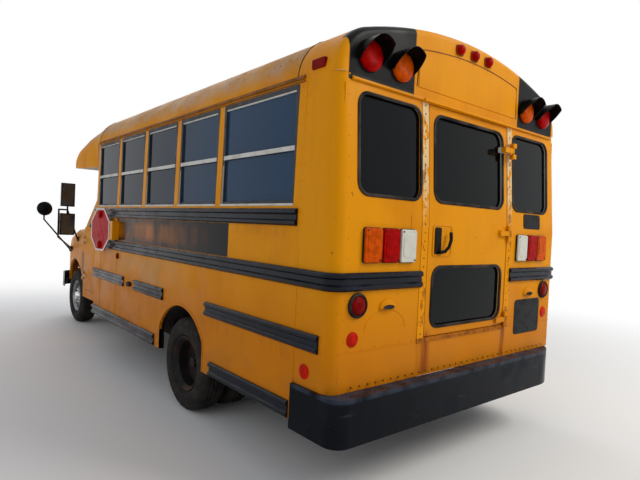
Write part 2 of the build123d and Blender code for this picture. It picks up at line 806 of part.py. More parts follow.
def driver_door():
    door = cab_side(0) & left_part(door_outline(0))
    door -= left_part(door_pane_outline(0))
    for height in DRIVER_HINGES:
        door += hinge_strap(driver_hinge(height))
    return door


def driver_glass():
    return (cab_envelope(15) - cab_envelope(15 + GLASS)) & left_part(door_pane_outline(SEAT_GAP))


def leaf_spans():
    """(rear, front) X of the rear and of the front leaf."""
    rear, front = portal_span(PORTAL_FRAME + DOOR_GAP)
    middle = (rear + front) / 2
    return (rear, middle - LEAF_GAP / 2), (middle + LEAF_GAP / 2, front)


def leaf(span, pin_x, turn):
    panel = block(span, (-CAB_HALF, -CAB_HALF + LEAF_THICK), (LEAF_BOTTOM, LEAF_TOP))
    for rise in LEAF_PANES:
        path = rounded((span[0] + LEAF_STILE, span[1] - LEAF_STILE), rise, LEAF_CORNER)
        panel -= along_y(path, -CAB_HALF - 50, -CAB_HALF + 2 * LEAF_THICK)
    for height in ENTRY_HINGES:
        panel += hinge_strap(entry_hinge(pin_x, turn, height))
    return panel


def leaf_glass(span):
    y = -CAB_HALF + LEAF_THICK / 2
    inset = LEAF_STILE + SEAT_GAP
    panes = []
    for low, high in LEAF_PANES:
        path = rounded((span[0] + inset, span[1] - inset), (low + SEAT_GAP, high - SEAT_GAP), LEAF_CORNER)
        panes.append(along_y(path, y - GLASS / 2, y + GLASS / 2))
    return panes


# Nose
def hood_prism(grow):
    half = HOOD_HALF + grow
    rear = at(D_HOOD_REAR) - grow
    front = at(D_HOOD_FRONT) + grow
    outline = [(rear, -half), (front, -half + 60), (front, half - 60), (rear, half)]
    return along_z(outline, NOSE[-1][4] - 60, ROOF_TOP)


def nose_walls():
    return hull(NOSE) - hull(NOSE, NOSE_SKIN, back=50, front=NOSE_SKIN, drop=50)


def nose_panels():
    shell = nose_walls() - hood_prism(DOOR_GAP)
    arch_height = AXLE_HEIGHT + FRONT_ARCH_RISE
    x = at(D_FRONT_AXLE)
    shell -= rod((x, -HALF, arch_height), (x, HALF, arch_height), FRONT_ARCH_RADIUS)
    reach = (at(NOSE_FACE) - 2 * NOSE_SKIN, at(NOSE_FACE) + 10)
    shell -= block(reach, (-GRILLE_HALF, GRILLE_HALF), (GRILLE_LOW, GRILLE_HIGH))
    shell -= both_sides(block(reach, (HEADLAMP_INNER, HEADLAMP_OUTER), (GRILLE_LOW, GRILLE_HIGH)))
    for y in (-HOOD_HINGE_Y, HOOD_HINGE_Y):
        for half in hinge_bracket(hood_hinge(y)):
            shell += half
    return shell


def hood():
    shell = nose_walls() & hood_prism(0)
    for y in (-HOOD_HINGE_Y, HOOD_HINGE_Y):
        shell += hinge_strap(hood_hinge(y))
    return shell


def grille():
    """Egg-crate grille in a frame."""
    face = at(NOSE_FACE) - 2
    half = GRILLE_HALF - SEAT_GAP
    rise = (GRILLE_LOW + SEAT_GAP, GRILLE_HIGH - SEAT_GAP)
    frame = block((face - GRILLE_DEPTH, face), (-half, half), rise)
    wide = (2 * half - 2 * GRILLE_BORDER) / GRILLE_COLUMNS
    tall = (rise[1] - rise[0] - 2 * GRILLE_BORDER) / GRILLE_ROWS
    edge = GRILLE_BAR / 2
    reach = (face - 2 * GRILLE_DEPTH, face + 10)
    for i in range(GRILLE_COLUMNS):
        for k in range(GRILLE_ROWS):
            y = -half + GRILLE_BORDER + i * wide
            z = rise[0] + GRILLE_BORDER + k * tall
            frame -= block(reach, (y + edge, y + wide - edge), (z + edge, z + tall - edge))
    return frame


def wheel(centre_y, face_sign):
    """A pressed disc wheel about Y; face_sign is the side its dish opens to."""
    half = TYRE_WIDTH * 0.4
    flange = RIM_RADIUS - RIM_SKIN
    well = RIM_WELL_RADIUS - RIM_SKIN
    bore = HUB_BORE + SEAT_GAP
    profile = [
        (RIM_RADIUS, -half), (RIM_RADIUS, -half + 14), (RIM_WELL_RADIUS, -half + 34),
        (RIM_WELL_RADIUS, half - 34), (RIM_RADIUS, half - 14), (RIM_RADIUS, half),
        (flange, half), (well, half - 30), (well, DISC_BACK + 14), (DISC_EDGE, DISC_FACE),
        (bore, DISC_FACE), (bore, DISC_FACE - 12), (DISC_EDGE - 5, DISC_FACE - 12), (well, DISC_BACK),
        (well, -half + 30), (flange, -half),
    ]
    points = [(r, y * face_sign) for r, y in profile]
    face = flat(points, Plane.XY)
    return Pos(0, centre_y, 0) * Solid.revolve(face, 360, Axis.Y)


def tyre(centre_y):
    half = TYRE_WIDTH / 2
    bead = TYRE_WIDTH * 0.4 - 14.5
    bore = RIM_RADIUS + SEAT_GAP
    shoulder = TYRE_RADIUS - 30
    profile = [
        (bore, -bead), (RIM_RADIUS + 60, -half), (shoulder, -half + 6), (TYRE_RADIUS, -half + 34),
        (TYRE_RADIUS, half - 34), (shoulder, half - 6), (RIM_RADIUS + 60, half), (bore, bead),
    ]
    return Pos(0, centre_y, 0) * Solid.revolve(flat(profile, Plane.XY), 360, Axis.Y)


def octagon(across):
    radius = across / 2 / math.cos(math.pi / 8)
    turns = [math.pi / 8 + k * math.pi / 4 for k in range(8)]
    return [(radius * math.cos(turn), radius * math.sin(turn)) for turn in turns]


# Chassis
def chassis():
    rail = along_x(
        [
            (RAIL_OUTER - RAIL_FLANGE, RAIL_BOTTOM), (RAIL_OUTER, RAIL_BOTTOM), (RAIL_OUTER, RAIL_TOP),
            (RAIL_OUTER - RAIL_FLANGE, RAIL_TOP), (RAIL_OUTER - RAIL_FLANGE, RAIL_TOP - RAIL_WEB),
            (RAIL_OUTER - RAIL_WEB, RAIL_TOP - RAIL_WEB), (RAIL_OUTER - RAIL_WEB, RAIL_BOTTOM + RAIL_WEB),
            (RAIL_OUTER - RAIL_FLANGE, RAIL_BOTTOM + RAIL_WEB),
        ],
        at(D_FRAME_REAR), at(D_FRAME_FRONT),
    )
    frame = rail + rail.mirror(Plane.XZ)
    half = RAIL_OUTER - RAIL_WEB
    top = RAIL_TOP - RAIL_WEB
    for distance in CROSS_MEMBERS:
        x = at(distance)
        frame += block((x - 30, x + 30), (-half, half), (top - CROSS_DEPTH, top))
    return frame


def engine():
    """Plain blocks for the engine and the gearbox, on mounts between the rails."""
    part = block((at(5480), at(6280)), (-260, 260), (545, 1130))
    part += block((at(4620), at(5480)), (-130, 130), (430, 680))
    half = RAIL_OUTER - RAIL_WEB - SEAT_GAP
    for distance in ENGINE_MOUNTS:
        part += rod((at(distance), -half, 600), (at(distance), half, 600), 25)
    return part


def exhaust():
    """Pipe with a silencer, hung from the crossmembers."""
    pipe = rod((at(200), EXHAUST_Y, EXHAUST_HEIGHT), (at(5300), EXHAUST_Y, EXHAUST_HEIGHT), 32)
    pipe += rod((at(2650), EXHAUST_Y, EXHAUST_HEIGHT), (at(3250), EXHAUST_Y, EXHAUST_HEIGHT), 80)
    top = RAIL_TOP - RAIL_WEB - CROSS_DEPTH - SEAT_GAP
    for distance in EXHAUST_HANGERS:
        x = at(distance)
        pipe += block((x - 15, x + 15), (EXHAUST_Y - 10, EXHAUST_Y + 10), (EXHAUST_HEIGHT, top))
    return pipe


def fuel_tank():
    """Tank on straps outside the left rail."""
    tank = along_x(rounded((480, 960), (415, 680), 60), at(2520), at(3650))
    for distance in TANK_STRAPS:
        tank += block((at(distance) - 30, at(distance) + 30), (RAIL_OUTER + SEAT_GAP, 520), (560, 660))
    return tank


def rear_axle():
    x = at(D_REAR_AXLE)
    inner_wheel = REAR_TRACK_OUTER - TYRE_WIDTH / 2 - TWIN_PITCH
    axle = rod((x, -inner_wheel + 60, AXLE_HEIGHT), (x, inner_wheel - 60, AXLE_HEIGHT), 58)
    spindle = REAR_TRACK_OUTER - TYRE_WIDTH / 2 + 30
    axle += rod((x, -spindle, AXLE_HEIGHT), (x, spindle, AXLE_HEIGHT), HUB_BORE)
    axle += Pos(x, 0, AXLE_HEIGHT) * Rot(0, 90, 0) * Cylinder(165, 190)
    for side in (-1, 1):
        y = side * (RAIL_OUTER - RAIL_FLANGE / 2)
        bow = ((x, AXLE_HEIGHT + 85), (x - 600, RAIL_BOTTOM))
        path = [
            (x - 620, RAIL_BOTTOM), (x - 620, 500), ((x, AXLE_HEIGHT + 55), (x + 620, 500)),
            (x + 620, RAIL_BOTTOM), (x + 600, RAIL_BOTTOM), bow,
        ]
        axle += along_y(path, y - 32, y + 32)
    axle += rod((x + 90, 0, AXLE_HEIGHT + 4), (at(4600), 0, 500), 44)
    return axle


def front_suspension():
    x = at(D_FRONT_AXLE)
    part = block((x - 70, x + 70), (-RAIL_OUTER, RAIL_OUTER), (300, RAIL_BOTTOM - SEAT_GAP))
    for side in (-1, 1):
        for low, high, spread in ((250, 285, 150), (470, 500, 110)):
            root = side * (RAIL_OUTER - 40)
            tip = side * (KINGPIN_Y + 30)
            part += along_z([(x - spread, root), (x + spread, root), (x + 38, tip), (x - 38, tip)], low, high)
            root = sorted((side * (RAIL_OUTER - 120), side * RAIL_OUTER))
            part += block((x - spread, x + spread), root, (low, high))
    return part


def knuckle(side):
    x = at(D_FRONT_AXLE)
    part = rod((x, side * KINGPIN_Y, 285 + SEAT_GAP), (x, side * KINGPIN_Y, 470 - SEAT_GAP), 34)
    tip = FRONT_TRACK_OUTER - TYRE_WIDTH / 2 + 62
    part += rod((x, side * KINGPIN_Y, AXLE_HEIGHT), (x, side * tip, AXLE_HEIGHT), HUB_BORE)
    part += rod((x, side * (KINGPIN_Y + 20), AXLE_HEIGHT), (x, side * (KINGPIN_Y + 75), AXLE_HEIGHT), 70)
    return part


def bumper_outline(inset, over=0):
    """Plan of the rear bumper, drawn in by an inset; its right end bends in more than the left."""
    face = at(-REAR_BUMPER_REACH) + inset
    end = at(D_CORNER_SEAM) - 2 + over
    half = BUMPER_SIDE - inset
    left = BUMPER_LEFT_RADIUS - inset
    right = BUMPER_RIGHT_RADIUS - inset
    cut = 1 - math.sqrt(0.5)
    left_arc = ((face + cut * left, half - cut * left), (face, half - left))
    right_arc = ((face + cut * right, -half + cut * right), (face + right, -half))
    return [(end, half), (face + left, half), left_arc, (face, -half + right), right_arc, (end, -half)]


def bumper_rear():
    """Face plate that wraps the rear corners, with a flange along its top."""
    face = along_z(bumper_outline(0), BUMPER_LOW, BUMPER_HIGH)
    face -= along_z(bumper_outline(BUMPER_SKIN, 50), BUMPER_LOW - 50, BUMPER_HIGH - BUMPER_SKIN)
    face -= along_z(bumper_outline(BUMPER_FLANGE, 50), BUMPER_LOW, BUMPER_HIGH + 50)
    for y in bumper_bracket_rows():
        span = (y - BUMPER_BRACKET, y + BUMPER_BRACKET)
        rise = (BUMPER_BRACKET_LOW, BUMPER_BRACKET_HIGH)
        face += block((at(-REAR_BUMPER_REACH) + 4, at(D_FRAME_REAR) - SEAT_GAP), span, rise)
    return face


def bumper_front():
    front = FRONT_BUMPER_X
    outer = [
        (front - 330, 1010), (front - 200, 1000), ((front - 60, 900), (front - 40, 760)),
        ((front, 0), (front - 40, -760)), ((front - 60, -900), (front - 200, -1000)), (front - 330, -1010),
        (front - 330, -1000), (front - 205, -990), ((front - 70, -890), (front - 50, -755)),
        ((front - 10, 0), (front - 50, 755)), ((front - 70, 890), (front - 205, 990)), (front - 330, 1000),
    ]
    bar = along_z(outer, FRONT_BUMPER_LOW, FRONT_BUMPER_HIGH)
    for y in bumper_bracket_rows():
        span = (y - BUMPER_BRACKET, y + BUMPER_BRACKET)
        bar += block((at(D_FRAME_FRONT) + SEAT_GAP, front - 18), span, (525, 557))
    return bar


def rail_path(z_centre, face):
    """Section of a rub rail against a wall: two raised ribs with a valley between."""
    h = RAIL_HEIGHT / 2
    rib = face + RAIL_DEPTH
    edge = face + RAIL_DEPTH * 0.5
    valley = face + RAIL_DEPTH * 0.45
    lower = [
        (face, z_centre - h), (edge, z_centre - h), (rib, z_centre - h + 10),
        (rib, z_centre - h + RAIL_RIB), (valley, z_centre - h + RAIL_RIB + 10),
    ]
    return lower + [(y, 2 * z_centre - z) for y, z in reversed(lower)]


def rub_rails():
    """The side rails, and the one that goes on round the rear corner to the rear door."""
    rails = []
    face = HALF + SEAT_GAP
    for z, rear, front in RUB_RAILS:
        rails.append(both_sides(along_x(rail_path(z, face), at(rear), at(front))))
    path = rail_path(WRAP_RAIL, face)
    corner_x = at(CORNER_RADIUS)
    corner_y = HALF - CORNER_RADIUS
    axis = Axis((corner_x, corner_y, 0), UP)
    rails.append(both_sides(Solid.revolve(flat(path, Plane.YZ.offset(corner_x)), 90, axis)))
    across = [(corner_x + corner_y - y, z) for y, z in path]
    rails.append(both_sides(along_y(across, WRAP_END, corner_y - SEAT_GAP)))
    return rails


def bench(rear, side):
    """A high-backed bench seat: cushion, back and two legs on the aisle side."""
    inner = side * BENCH_AISLE
    outer = side * (HALF - WALL - SEAT_GAP)
    low = FLOOR_TOP + CUSHION_BOTTOM
    x = at(rear)
    seat = (x + BACK_THICK, x + BACK_THICK + CUSHION_LENGTH)
    cushion = block(seat, sorted((inner, outer)), (low, low + CUSHION_THICK))
    top = FLOOR_TOP + BACK_TOP
    y = sorted((inner, side * (side_at(top) - WALL - SEAT_GAP)))
    back = along_y(
        [(x, low), (x + BACK_THICK - SEAT_GAP, low), (x + BACK_THICK - BACK_LEAN, top), (x - BACK_LEAN, top)],
        *y,
    )
    leg_y = inner + side * LEG_INSET
    legs = []
    for foot in (x + BACK_THICK - LEG_LENGTH, x + CUSHION_LENGTH):
        span = (leg_y - LEG_WIDTH / 2, leg_y + LEG_WIDTH / 2)
        legs.append(block((foot, foot + LEG_LENGTH), span, (FLOOR_TOP, low)))
    return [cushion, back, *legs]


def driver_seat():
    """Cushion, back and pedestal."""
    x = at(D_DRIVER_SEAT)
    y = DRIVER_SEAT_Y
    low = FLOOR_TOP + DRIVER_CUSHION
    high = low + 110
    back = [(x - 60, high), (x + 50, high), (x - 40, high + 650), (x - 130, high + 650)]
    return [
        block((x, x + 480), (y - 250, y + 250), (low, high)),
        along_y(back, y - 240, y + 240),
        block((x + 60, x + 420), (y - 160, y + 160), (FLOOR_TOP, low)),
    ]


def floor():
    """Floor plate with crossbeams, wheelhouses and entry steps."""
    inside = HALF - WALL
    outline = end_outline(at(WALL), at(D_FRONT_SEAM), inside, CORNER_RADIUS - WALL)
    plate = along_z(outline, FLOOR_TOP - FLOOR_THICK, FLOOR_TOP)
    neck = CAB_ROOF_HALF - 50
    rise = (FLOOR_TOP - FLOOR_THICK, FLOOR_TOP)
    plate += block((at(D_FRONT_SEAM), at(BODY_LENGTH) + 10), (-neck, neck), rise)
    cab = CAB_HALF - CAB_SKIN
    cab_span = (at(BODY_LENGTH) + SEAT_GAP, at(D_DOOR_FRONT) + CAB_PILLAR - CAB_SKIN)
    plate += block(cab_span, (-cab, cab), rise)
    door_span = (at(D_DOOR_REAR) - DOOR_GAP, at(D_DOOR_FRONT) + DOOR_GAP)
    plate -= block(door_span, (cab - DOOR_GAP, CAB_HALF), (0, FLOOR_TOP + 10))
    step_y = (-CAB_HALF + PORTAL_DEPTH - 110, -CAB_HALF + PORTAL_DEPTH - 110 + 2 * STEP_RUN)
    plate -= block(portal_span(PORTAL_FRAME), (-CAB_HALF, step_y[1]), (0, FLOOR_TOP + 10))
    plate -= block(portal_span(0), (-CAB_HALF, -CAB_HALF + PORTAL_DEPTH), (0, FLOOR_TOP + 10))
    low = FLOOR_TOP - 2 * STEP_RISE
    mid = FLOOR_TOP - STEP_RISE
    riser = step_y[0] + STEP_RUN
    treads = [
        (step_y[0], low - STEP_SKIN), (step_y[0], low), (riser, low), (riser, mid), (step_y[1], mid),
        (step_y[1], FLOOR_TOP), (step_y[1] + STEP_SKIN, FLOOR_TOP), (step_y[1] + STEP_SKIN, mid - STEP_SKIN),
        (riser + STEP_SKIN, mid - STEP_SKIN), (riser + STEP_SKIN, low - STEP_SKIN),
    ]
    plate += along_x(treads, *portal_span(PORTAL_FRAME))
    for k in range(FLOOR_BEAMS):
        x = at(FIRST_BEAM + BEAM_PITCH * k)
        over_wheels = abs(x - at(D_REAR_AXLE)) < WHEELHOUSE_RADIUS + 60
        half = WHEELHOUSE_Y if over_wheels else inside - 20
        plate += block((x - 30, x + 30), (-half, half), (RAIL_TOP, FLOOR_TOP - FLOOR_THICK))
    for side in (-1, 1):
        y = sorted((side * WHEELHOUSE_Y, side * inside))
        x = at(D_REAR_AXLE)
        outer = rod((x, y[0], AXLE_HEIGHT), (x, y[1], AXLE_HEIGHT), WHEELHOUSE_RADIUS + WHEELHOUSE_SKIN)
        y_in = sorted((side * (WHEELHOUSE_Y + WHEELHOUSE_SKIN), side * (inside + 10)))
        inner = rod((x, y_in[0], AXLE_HEIGHT), (x, y_in[1], AXLE_HEIGHT), WHEELHOUSE_RADIUS)
        house = outer - inner
        keep = block((x - 600, x + 600), (y[0] - 1, y[1] + 1), (FLOOR_TOP - FLOOR_THICK - 60, ROOF_TOP))
        plate = (plate - outer) + (house & keep)
    return plate


def dome(centre, axis, radius, depth):
    """A round lens: a short drum with a domed face, along an axis."""
    rise = depth / 2
    ball = (radius ** 2 + rise ** 2) / (2 * rise)
    half_angle = math.asin(radius / ball) / 2
    mid = (ball * math.sin(half_angle), depth - ball + ball * math.cos(half_angle))
    path = [(0, 0), (radius, 0), (radius, depth - rise), (mid, (0, depth))]
    return Plane(origin=centre, z_dir=axis) * Solid.revolve(flat(path, Plane.XZ), 360, Axis.Z)


def lamps():
    """Lenses and reflectors on the body, seated on its faces."""
    cap_face = at(REAR_LEAN)
    cap_front = at(FRONT_CAP[-1][0])
    lenses = []
    for y in (WARNING_AMBER_Y, WARNING_RED_Y):
        lenses.append(both_sides(dome((cap_face, y, WARNING_HEIGHT), BACK, WARNING_RADIUS, 42)))
        lenses.append(both_sides(dome((cap_front, y * 0.93, 2330), FRONT, WARNING_RADIUS, 42)))
    for y in TAIL_LAMPS:
        span = (y - TAIL_LAMP_WIDTH / 2, y + TAIL_LAMP_WIDTH / 2)
        lenses.append(both_sides(block((at(-TAIL_LAMP_DEPTH), at(0)), span, (TAIL_LAMP_LOW, TAIL_LAMP_HIGH))))
    for y, height, radius, depth in REAR_ROUNDS:
        lenses.append(both_sides(dome((at(0), y, height), BACK, radius, depth)))
    for distance, height, radius, depth in SIDE_ROUNDS:
        lenses.append(both_sides(dome((at(distance), HALF, height), LEFT, radius, depth)))
    for y in MARKER_LAMPS:
        lenses.append(dome((cap_face, y, MARKER_HEIGHT), BACK, 32, 40))
        lenses.append(dome((cap_front, y, FRONT_MARKER_HEIGHT), FRONT, 30, 30))
    (rear, front), heights = SIDE_MARKER
    marker = block((at(rear), at(front)), (HALF - 2 * WALL, EAVE_HALF + SIDE_MARKER_OUT), heights)
    roof = along_x(roof_path(-SEAT_GAP, EAVE_HEIGHT - WALL), at(0), at(D_CAP_SEAM))
    lenses.append(both_sides(marker - roof))
    reach = (at(NOSE_FACE) - 45, at(NOSE_FACE) + HEADLAMP_REACH)
    span = (HEADLAMP_INNER + SEAT_GAP, HEADLAMP_OUTER - SEAT_GAP)
    lenses.append(both_sides(block(reach, span, (GRILLE_LOW + SEAT_GAP, GRILLE_HIGH - SEAT_GAP))))
    return lenses


def fittings():
    """Black lamp hoods, the stop arm's bracket and the rain gutter above the rear door."""
    pieces = []
    cap_face = at(REAR_LEAN)
    bore = WARNING_RADIUS + SEAT_GAP * 4
    for y in (WARNING_AMBER_Y, WARNING_RED_Y):
        tip = (cap_face - HOOD_LENGTH, y, WARNING_HEIGHT)
        hood = tube((cap_face, y, WARNING_HEIGHT), tip, bore + HOOD_SKIN, bore)
        open_side = [(cap_face + ahead, WARNING_HEIGHT + up) for ahead, up in HOOD_CUT]
        wedge = along_y(open_side, y - 150, y + 150)
        pieces.append(both_sides(hood - wedge))
    rise = (REAR_DOOR_TOP + DOOR_GAP + 2, REAR_DOOR_TOP + DOOR_GAP + 16)
    depth = slope_at(REAR_DOOR_TOP)
    gutter = block((at(depth - 26), at(depth + 20)), (-518, 518), rise)
    pieces.append(gutter - rear_skin(0, 2 * WALL, rise[0] - WALL, rise[1] + WALL / 2))
    x, y = stop_hinge()
    low = STOP_HEIGHT - STOP_BRACKET
    high = STOP_HEIGHT + STOP_BRACKET
    bracket = block((x - 110, x - STOP_PIN - 20), (HALF, y + 20), (low, high))
    for z in (low, high - 20):
        bracket += block((x - 110, x + STOP_EAR), (HALF, y + STOP_EAR), (z, z + 20))
    pieces.append(bracket - rod((x, y, 0), (x, y, ROOF_TOP), STOP_PIN + 0.05))
    return pieces


def stop_hinge():
    return at(D_STOP_HINGE), HALF + STOP_HINGE_OUT


def stop_arm():
    """Octagonal sign on a hinge pin, with its two red lamps."""
    x, y = stop_hinge()
    middle = x + STOP_ROOT + STOP_ACROSS / 2
    span = (y - STOP_THICK / 2, y + STOP_THICK / 2)
    sign = Pos(middle, 0, STOP_HEIGHT) * along_y(octagon(STOP_ACROSS), *span)
    sign += rod((x, y, STOP_HEIGHT - STOP_BRACKET), (x, y, STOP_HEIGHT + STOP_BRACKET), STOP_PIN)
    for z in (STOP_HEIGHT - 60, STOP_HEIGHT + 30):
        sign += block((x, x + 2 * STOP_ROOT), span, (z, z + 30))
    for z in (STOP_HEIGHT - 165, STOP_HEIGHT + 165):
        sign += rod((middle, y - 18, z), (middle, y + 18, z), 40)
    return sign.rotate(Axis((x, y, 0), (0, 0, 1)), STOP_TILT)


def nose_half(distance):
    """Half the width of the nose at a distance."""
    for low, high in zip(NOSE, NOSE[1:]):
        if distance <= high[0]:
            return low[1] + (high[1] - low[1]) * (distance - low[0]) / (high[0] - low[0])
    return NOSE[-1][1]


def mirror_foot(distance, height):
    """A pad on the fender, and the place where its tube starts."""
    half = MIRROR_FOOT / 2
    side = nose_half(distance - half) + SEAT_GAP
    reach = (at(distance) - half, at(distance) + half)
    pad = block(reach, (side, side + 18), (height - half, height + half))
    return pad, (at(distance), side + 14, height)


def tubes(*points):
    """Tubes from point to point with round bends."""
    parts = [rod(low, high, MIRROR_TUBE) for low, high in zip(points, points[1:])]
    parts += [Pos(*point) * Sphere(MIRROR_TUBE) for point in points[1:-1]]
    joined = parts[0]
    for part in parts[1:]:
        joined += part
    return joined


def mirror():
    """Left mirror: two heads on a tube loop that stands on the fender."""
    x = at(MIRROR_D)
    foot_pad, foot = mirror_foot(MIRROR_FOOT_D, MIRROR_FOOT_HEIGHT)
    arm_pad, arm = mirror_foot(MIRROR_ARM_D, MIRROR_ARM_HEIGHT)
    low = (x, MIRROR_LOOP_Y, MIRROR_LOW)
    high = (x, MIRROR_LOOP_Y, MIRROR_HIGH)
    middle = (x, MIRROR_Y, MIRROR_HIGH)
    bar = tubes(foot, low, high, middle, arm)
    bar += rod((x, MIRROR_Y, MIRROR_HIGH - 100), (x, MIRROR_Y, MIRROR_HIGH + 100), MIRROR_TUBE)
    upper = along_y(rounded((x - 20, x + 22), (1644, 1960), 15), MIRROR_Y - 85, MIRROR_Y + 85)
    lower = along_y(rounded((x - 35, x + 25), (1258, 1552), 22), MIRROR_Y - 90, MIRROR_Y + 90)
    return bar + foot_pad + arm_pad + upper + lower


def round_mirror():
    """Left domed mirror that looks back from a bent tube on the fender."""
    x = at(ROUND_MIRROR_D)
    pad, foot = mirror_foot(ROUND_FOOT_D, ROUND_FOOT_HEIGHT)
    elbow = (x + MIRROR_TUBE, ROUND_MIRROR_Y, ROUND_MIRROR_HEIGHT - 160)
    top = (x + MIRROR_TUBE, ROUND_MIRROR_Y, ROUND_MIRROR_HEIGHT)
    head = dome((x + 2, ROUND_MIRROR_Y, ROUND_MIRROR_HEIGHT), BACK, ROUND_MIRROR_RADIUS, ROUND_MIRROR_DEPTH)
    return tubes(foot, elbow, top) + pad + head


def dashboard():
    front = at(D_DOOR_FRONT) + CAB_PILLAR - CAB_SKIN
    half = CAB_HALF - CAB_SKIN - 40
    profile = [
        (front - 60, 900), (front, 900), (front, 1290), (front - 120, 1300),
        (front - 230, 1230), (front - 200, 1080),
    ]
    shape = along_y(profile, -half, half)
    return shape - block((at(D_PORTAL_REAR), at(D_PORTAL_FRONT) + 10), (-CAB_HALF, -500), (0, ROOF_TOP))


def steering_wheel():
    """Rim, hub and three spokes about the column's line."""
    section = [(STEERING_RADIUS + across, rise) for across, rise in octagon(STEERING_RIM)]
    rim = Solid.revolve(flat(section, Plane.XZ), 360, Axis.Z)
    hub = Pos(0, 0, -6) * Cylinder(STEERING_HUB, 44)
    wheel_shape = rim + hub
    for angle in (90, 210, 330):
        wheel_shape += Rot(0, 0, angle) * Pos(STEERING_RADIUS / 2, 0, 0) * Box(STEERING_RADIUS - 6, 30, 10)
    place = Plane(origin=(at(STEERING_D), STEERING_Y, STEERING_HEIGHT), z_dir=COLUMN_WAY)
    return place * wheel_shape


def column():
    start = Vector(at(STEERING_D), STEERING_Y, STEERING_HEIGHT) + Vector(*COLUMN_WAY) * 17
    return rod(start, start + Vector(*COLUMN_WAY) * 200, COLUMN_RADIUS)


# Underside
save("chassis_frame", chassis())
save("engine", engine())
save("rear_axle", rear_axle())
save("front_suspension", front_suspension())
save("exhaust", exhaust())
save("fuel_tank", fuel_tank())
for side, name in ((1, "left"), (-1, "right")):
    save(f"knuckle_{name}", knuckle(side))
    x = at(D_FRONT_AXLE)
    y = side * (FRONT_TRACK_OUTER - TYRE_WIDTH / 2)
    save(f"front_wheel_{name}", Pos(x, 0, AXLE_HEIGHT) * wheel(y, side))
    save(f"front_tyre_{name}", Pos(x, 0, AXLE_HEIGHT) * tyre(y))
    x = at(D_REAR_AXLE)
    outer_y = side * (REAR_TRACK_OUTER - TYRE_WIDTH / 2)
    inner_y = outer_y - side * TWIN_PITCH
    twins = [Pos(x, 0, AXLE_HEIGHT) * wheel(outer_y, -side), Pos(x, 0, AXLE_HEIGHT) * wheel(inner_y, side)]
    save(f"rear_wheels_{name}", *twins)
    twin_tyres = [Pos(x, 0, AXLE_HEIGHT) * tyre(y) for y in (outer_y, inner_y)]
    save(f"rear_tyres_{name}", *twin_tyres)
save("rear_bumper", bumper_rear())
save("front_bumper", bumper_front())

# Body shell
left = side_wall()
save("left_wall", left)
save("right_wall", left.mirror(Plane.XZ))
save("rear_wall", rear_wall())
save("roof", roof_shell(at(D_CAP_SEAM), at(D_FRONT_SEAM)))
save("rear_cap", rear_cap())
save("front_wall", front_wall())
save("front_cap", front_cap())
save("floor", floor())
frames, centre = side_frames()
save("window_frames", *[both_sides(frame) for frame in frames])
rear_pane = pane_in_rear((SIDE_PANE_INNER, SIDE_PANE_OUTER), (SIDE_PANE_BOTTOM, SIDE_PANE_TOP), 14)
windshield = windshield_slab(14, 7) & along_x(windshield_path(1), at(D_HEADER) - 300, at(D_COWL) + 100)
panes = [both_sides(pane) for pane in (*side_panes(centre), rear_pane)]
save("body_glass", *panes, windshield, quarter_pane())
save("rub_rails", *rub_rails())
save("lamps", *lamps())
save("fittings", *fittings())
save("mirrors", both_sides(mirror()), both_sides(round_mirror()))

# Doors
save("rear_door", rear_door())
door_half = (-REAR_PANE_HALF, REAR_PANE_HALF)
door_panes = ((REAR_PANE_BOTTOM, REAR_PANE_TOP), (LOWER_PANE_BOTTOM, LOWER_PANE_TOP))
panes = [pane_in_rear(door_half, rise, 16) for rise in door_panes]
save("rear_door_glass", *panes)
save("driver_door", driver_door())
save("driver_door_glass", driver_glass())
for name, span, hinge_row in zip(("rear", "front"), leaf_spans(), entry_hinge_rows()):
    save(f"entry_leaf_{name}", leaf(span, *hinge_row))
    save(f"entry_glass_{name}", *leaf_glass(span))
save("stop_arm", stop_arm())

# Cab and nose
save("cab_shell", cab_shell())
save("nose_panels", nose_panels())
save("hood", hood())
save("grille", grille())

# Inside
save("dashboard", dashboard(), column())
save("steering_wheel", steering_wheel())
benches = []
for row in range(BENCH_ROWS):
    for side in (-1, 1):
        benches += bench(BENCH_FIRST + BENCH_PITCH * row, side)
save("seats", *benches, *driver_seat())
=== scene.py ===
from math import asin, copysign, cos, exp, hypot, pi, radians, sin, sqrt

import bmesh
import bpy
from mathutils import Matrix, Vector


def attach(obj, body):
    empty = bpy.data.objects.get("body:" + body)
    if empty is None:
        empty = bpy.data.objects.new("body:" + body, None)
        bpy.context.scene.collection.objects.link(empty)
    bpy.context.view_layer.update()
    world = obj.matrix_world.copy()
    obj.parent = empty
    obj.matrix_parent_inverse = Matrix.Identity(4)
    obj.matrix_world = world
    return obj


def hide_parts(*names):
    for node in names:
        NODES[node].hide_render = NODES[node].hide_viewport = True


# The looks of a short school bus, in metres: X forward, Y to the left, Z up.
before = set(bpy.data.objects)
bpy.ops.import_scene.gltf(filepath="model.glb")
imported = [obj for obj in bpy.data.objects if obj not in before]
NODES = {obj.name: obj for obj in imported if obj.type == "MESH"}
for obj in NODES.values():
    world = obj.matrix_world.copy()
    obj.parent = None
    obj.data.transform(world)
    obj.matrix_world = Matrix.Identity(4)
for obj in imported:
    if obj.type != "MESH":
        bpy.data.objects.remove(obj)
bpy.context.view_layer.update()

# Camera of the photograph, found from its perspective
PHOTO_WIDTH = 640
FOCAL_PIXELS = 503.53
SENSOR = 36
CAMERA_AT = (-5.2614, 2.9549, 1.5228)
CAMERA_YAW = -39.921
CAMERA_PITCH = -1.452
CAMERA_ROLL = 2.675

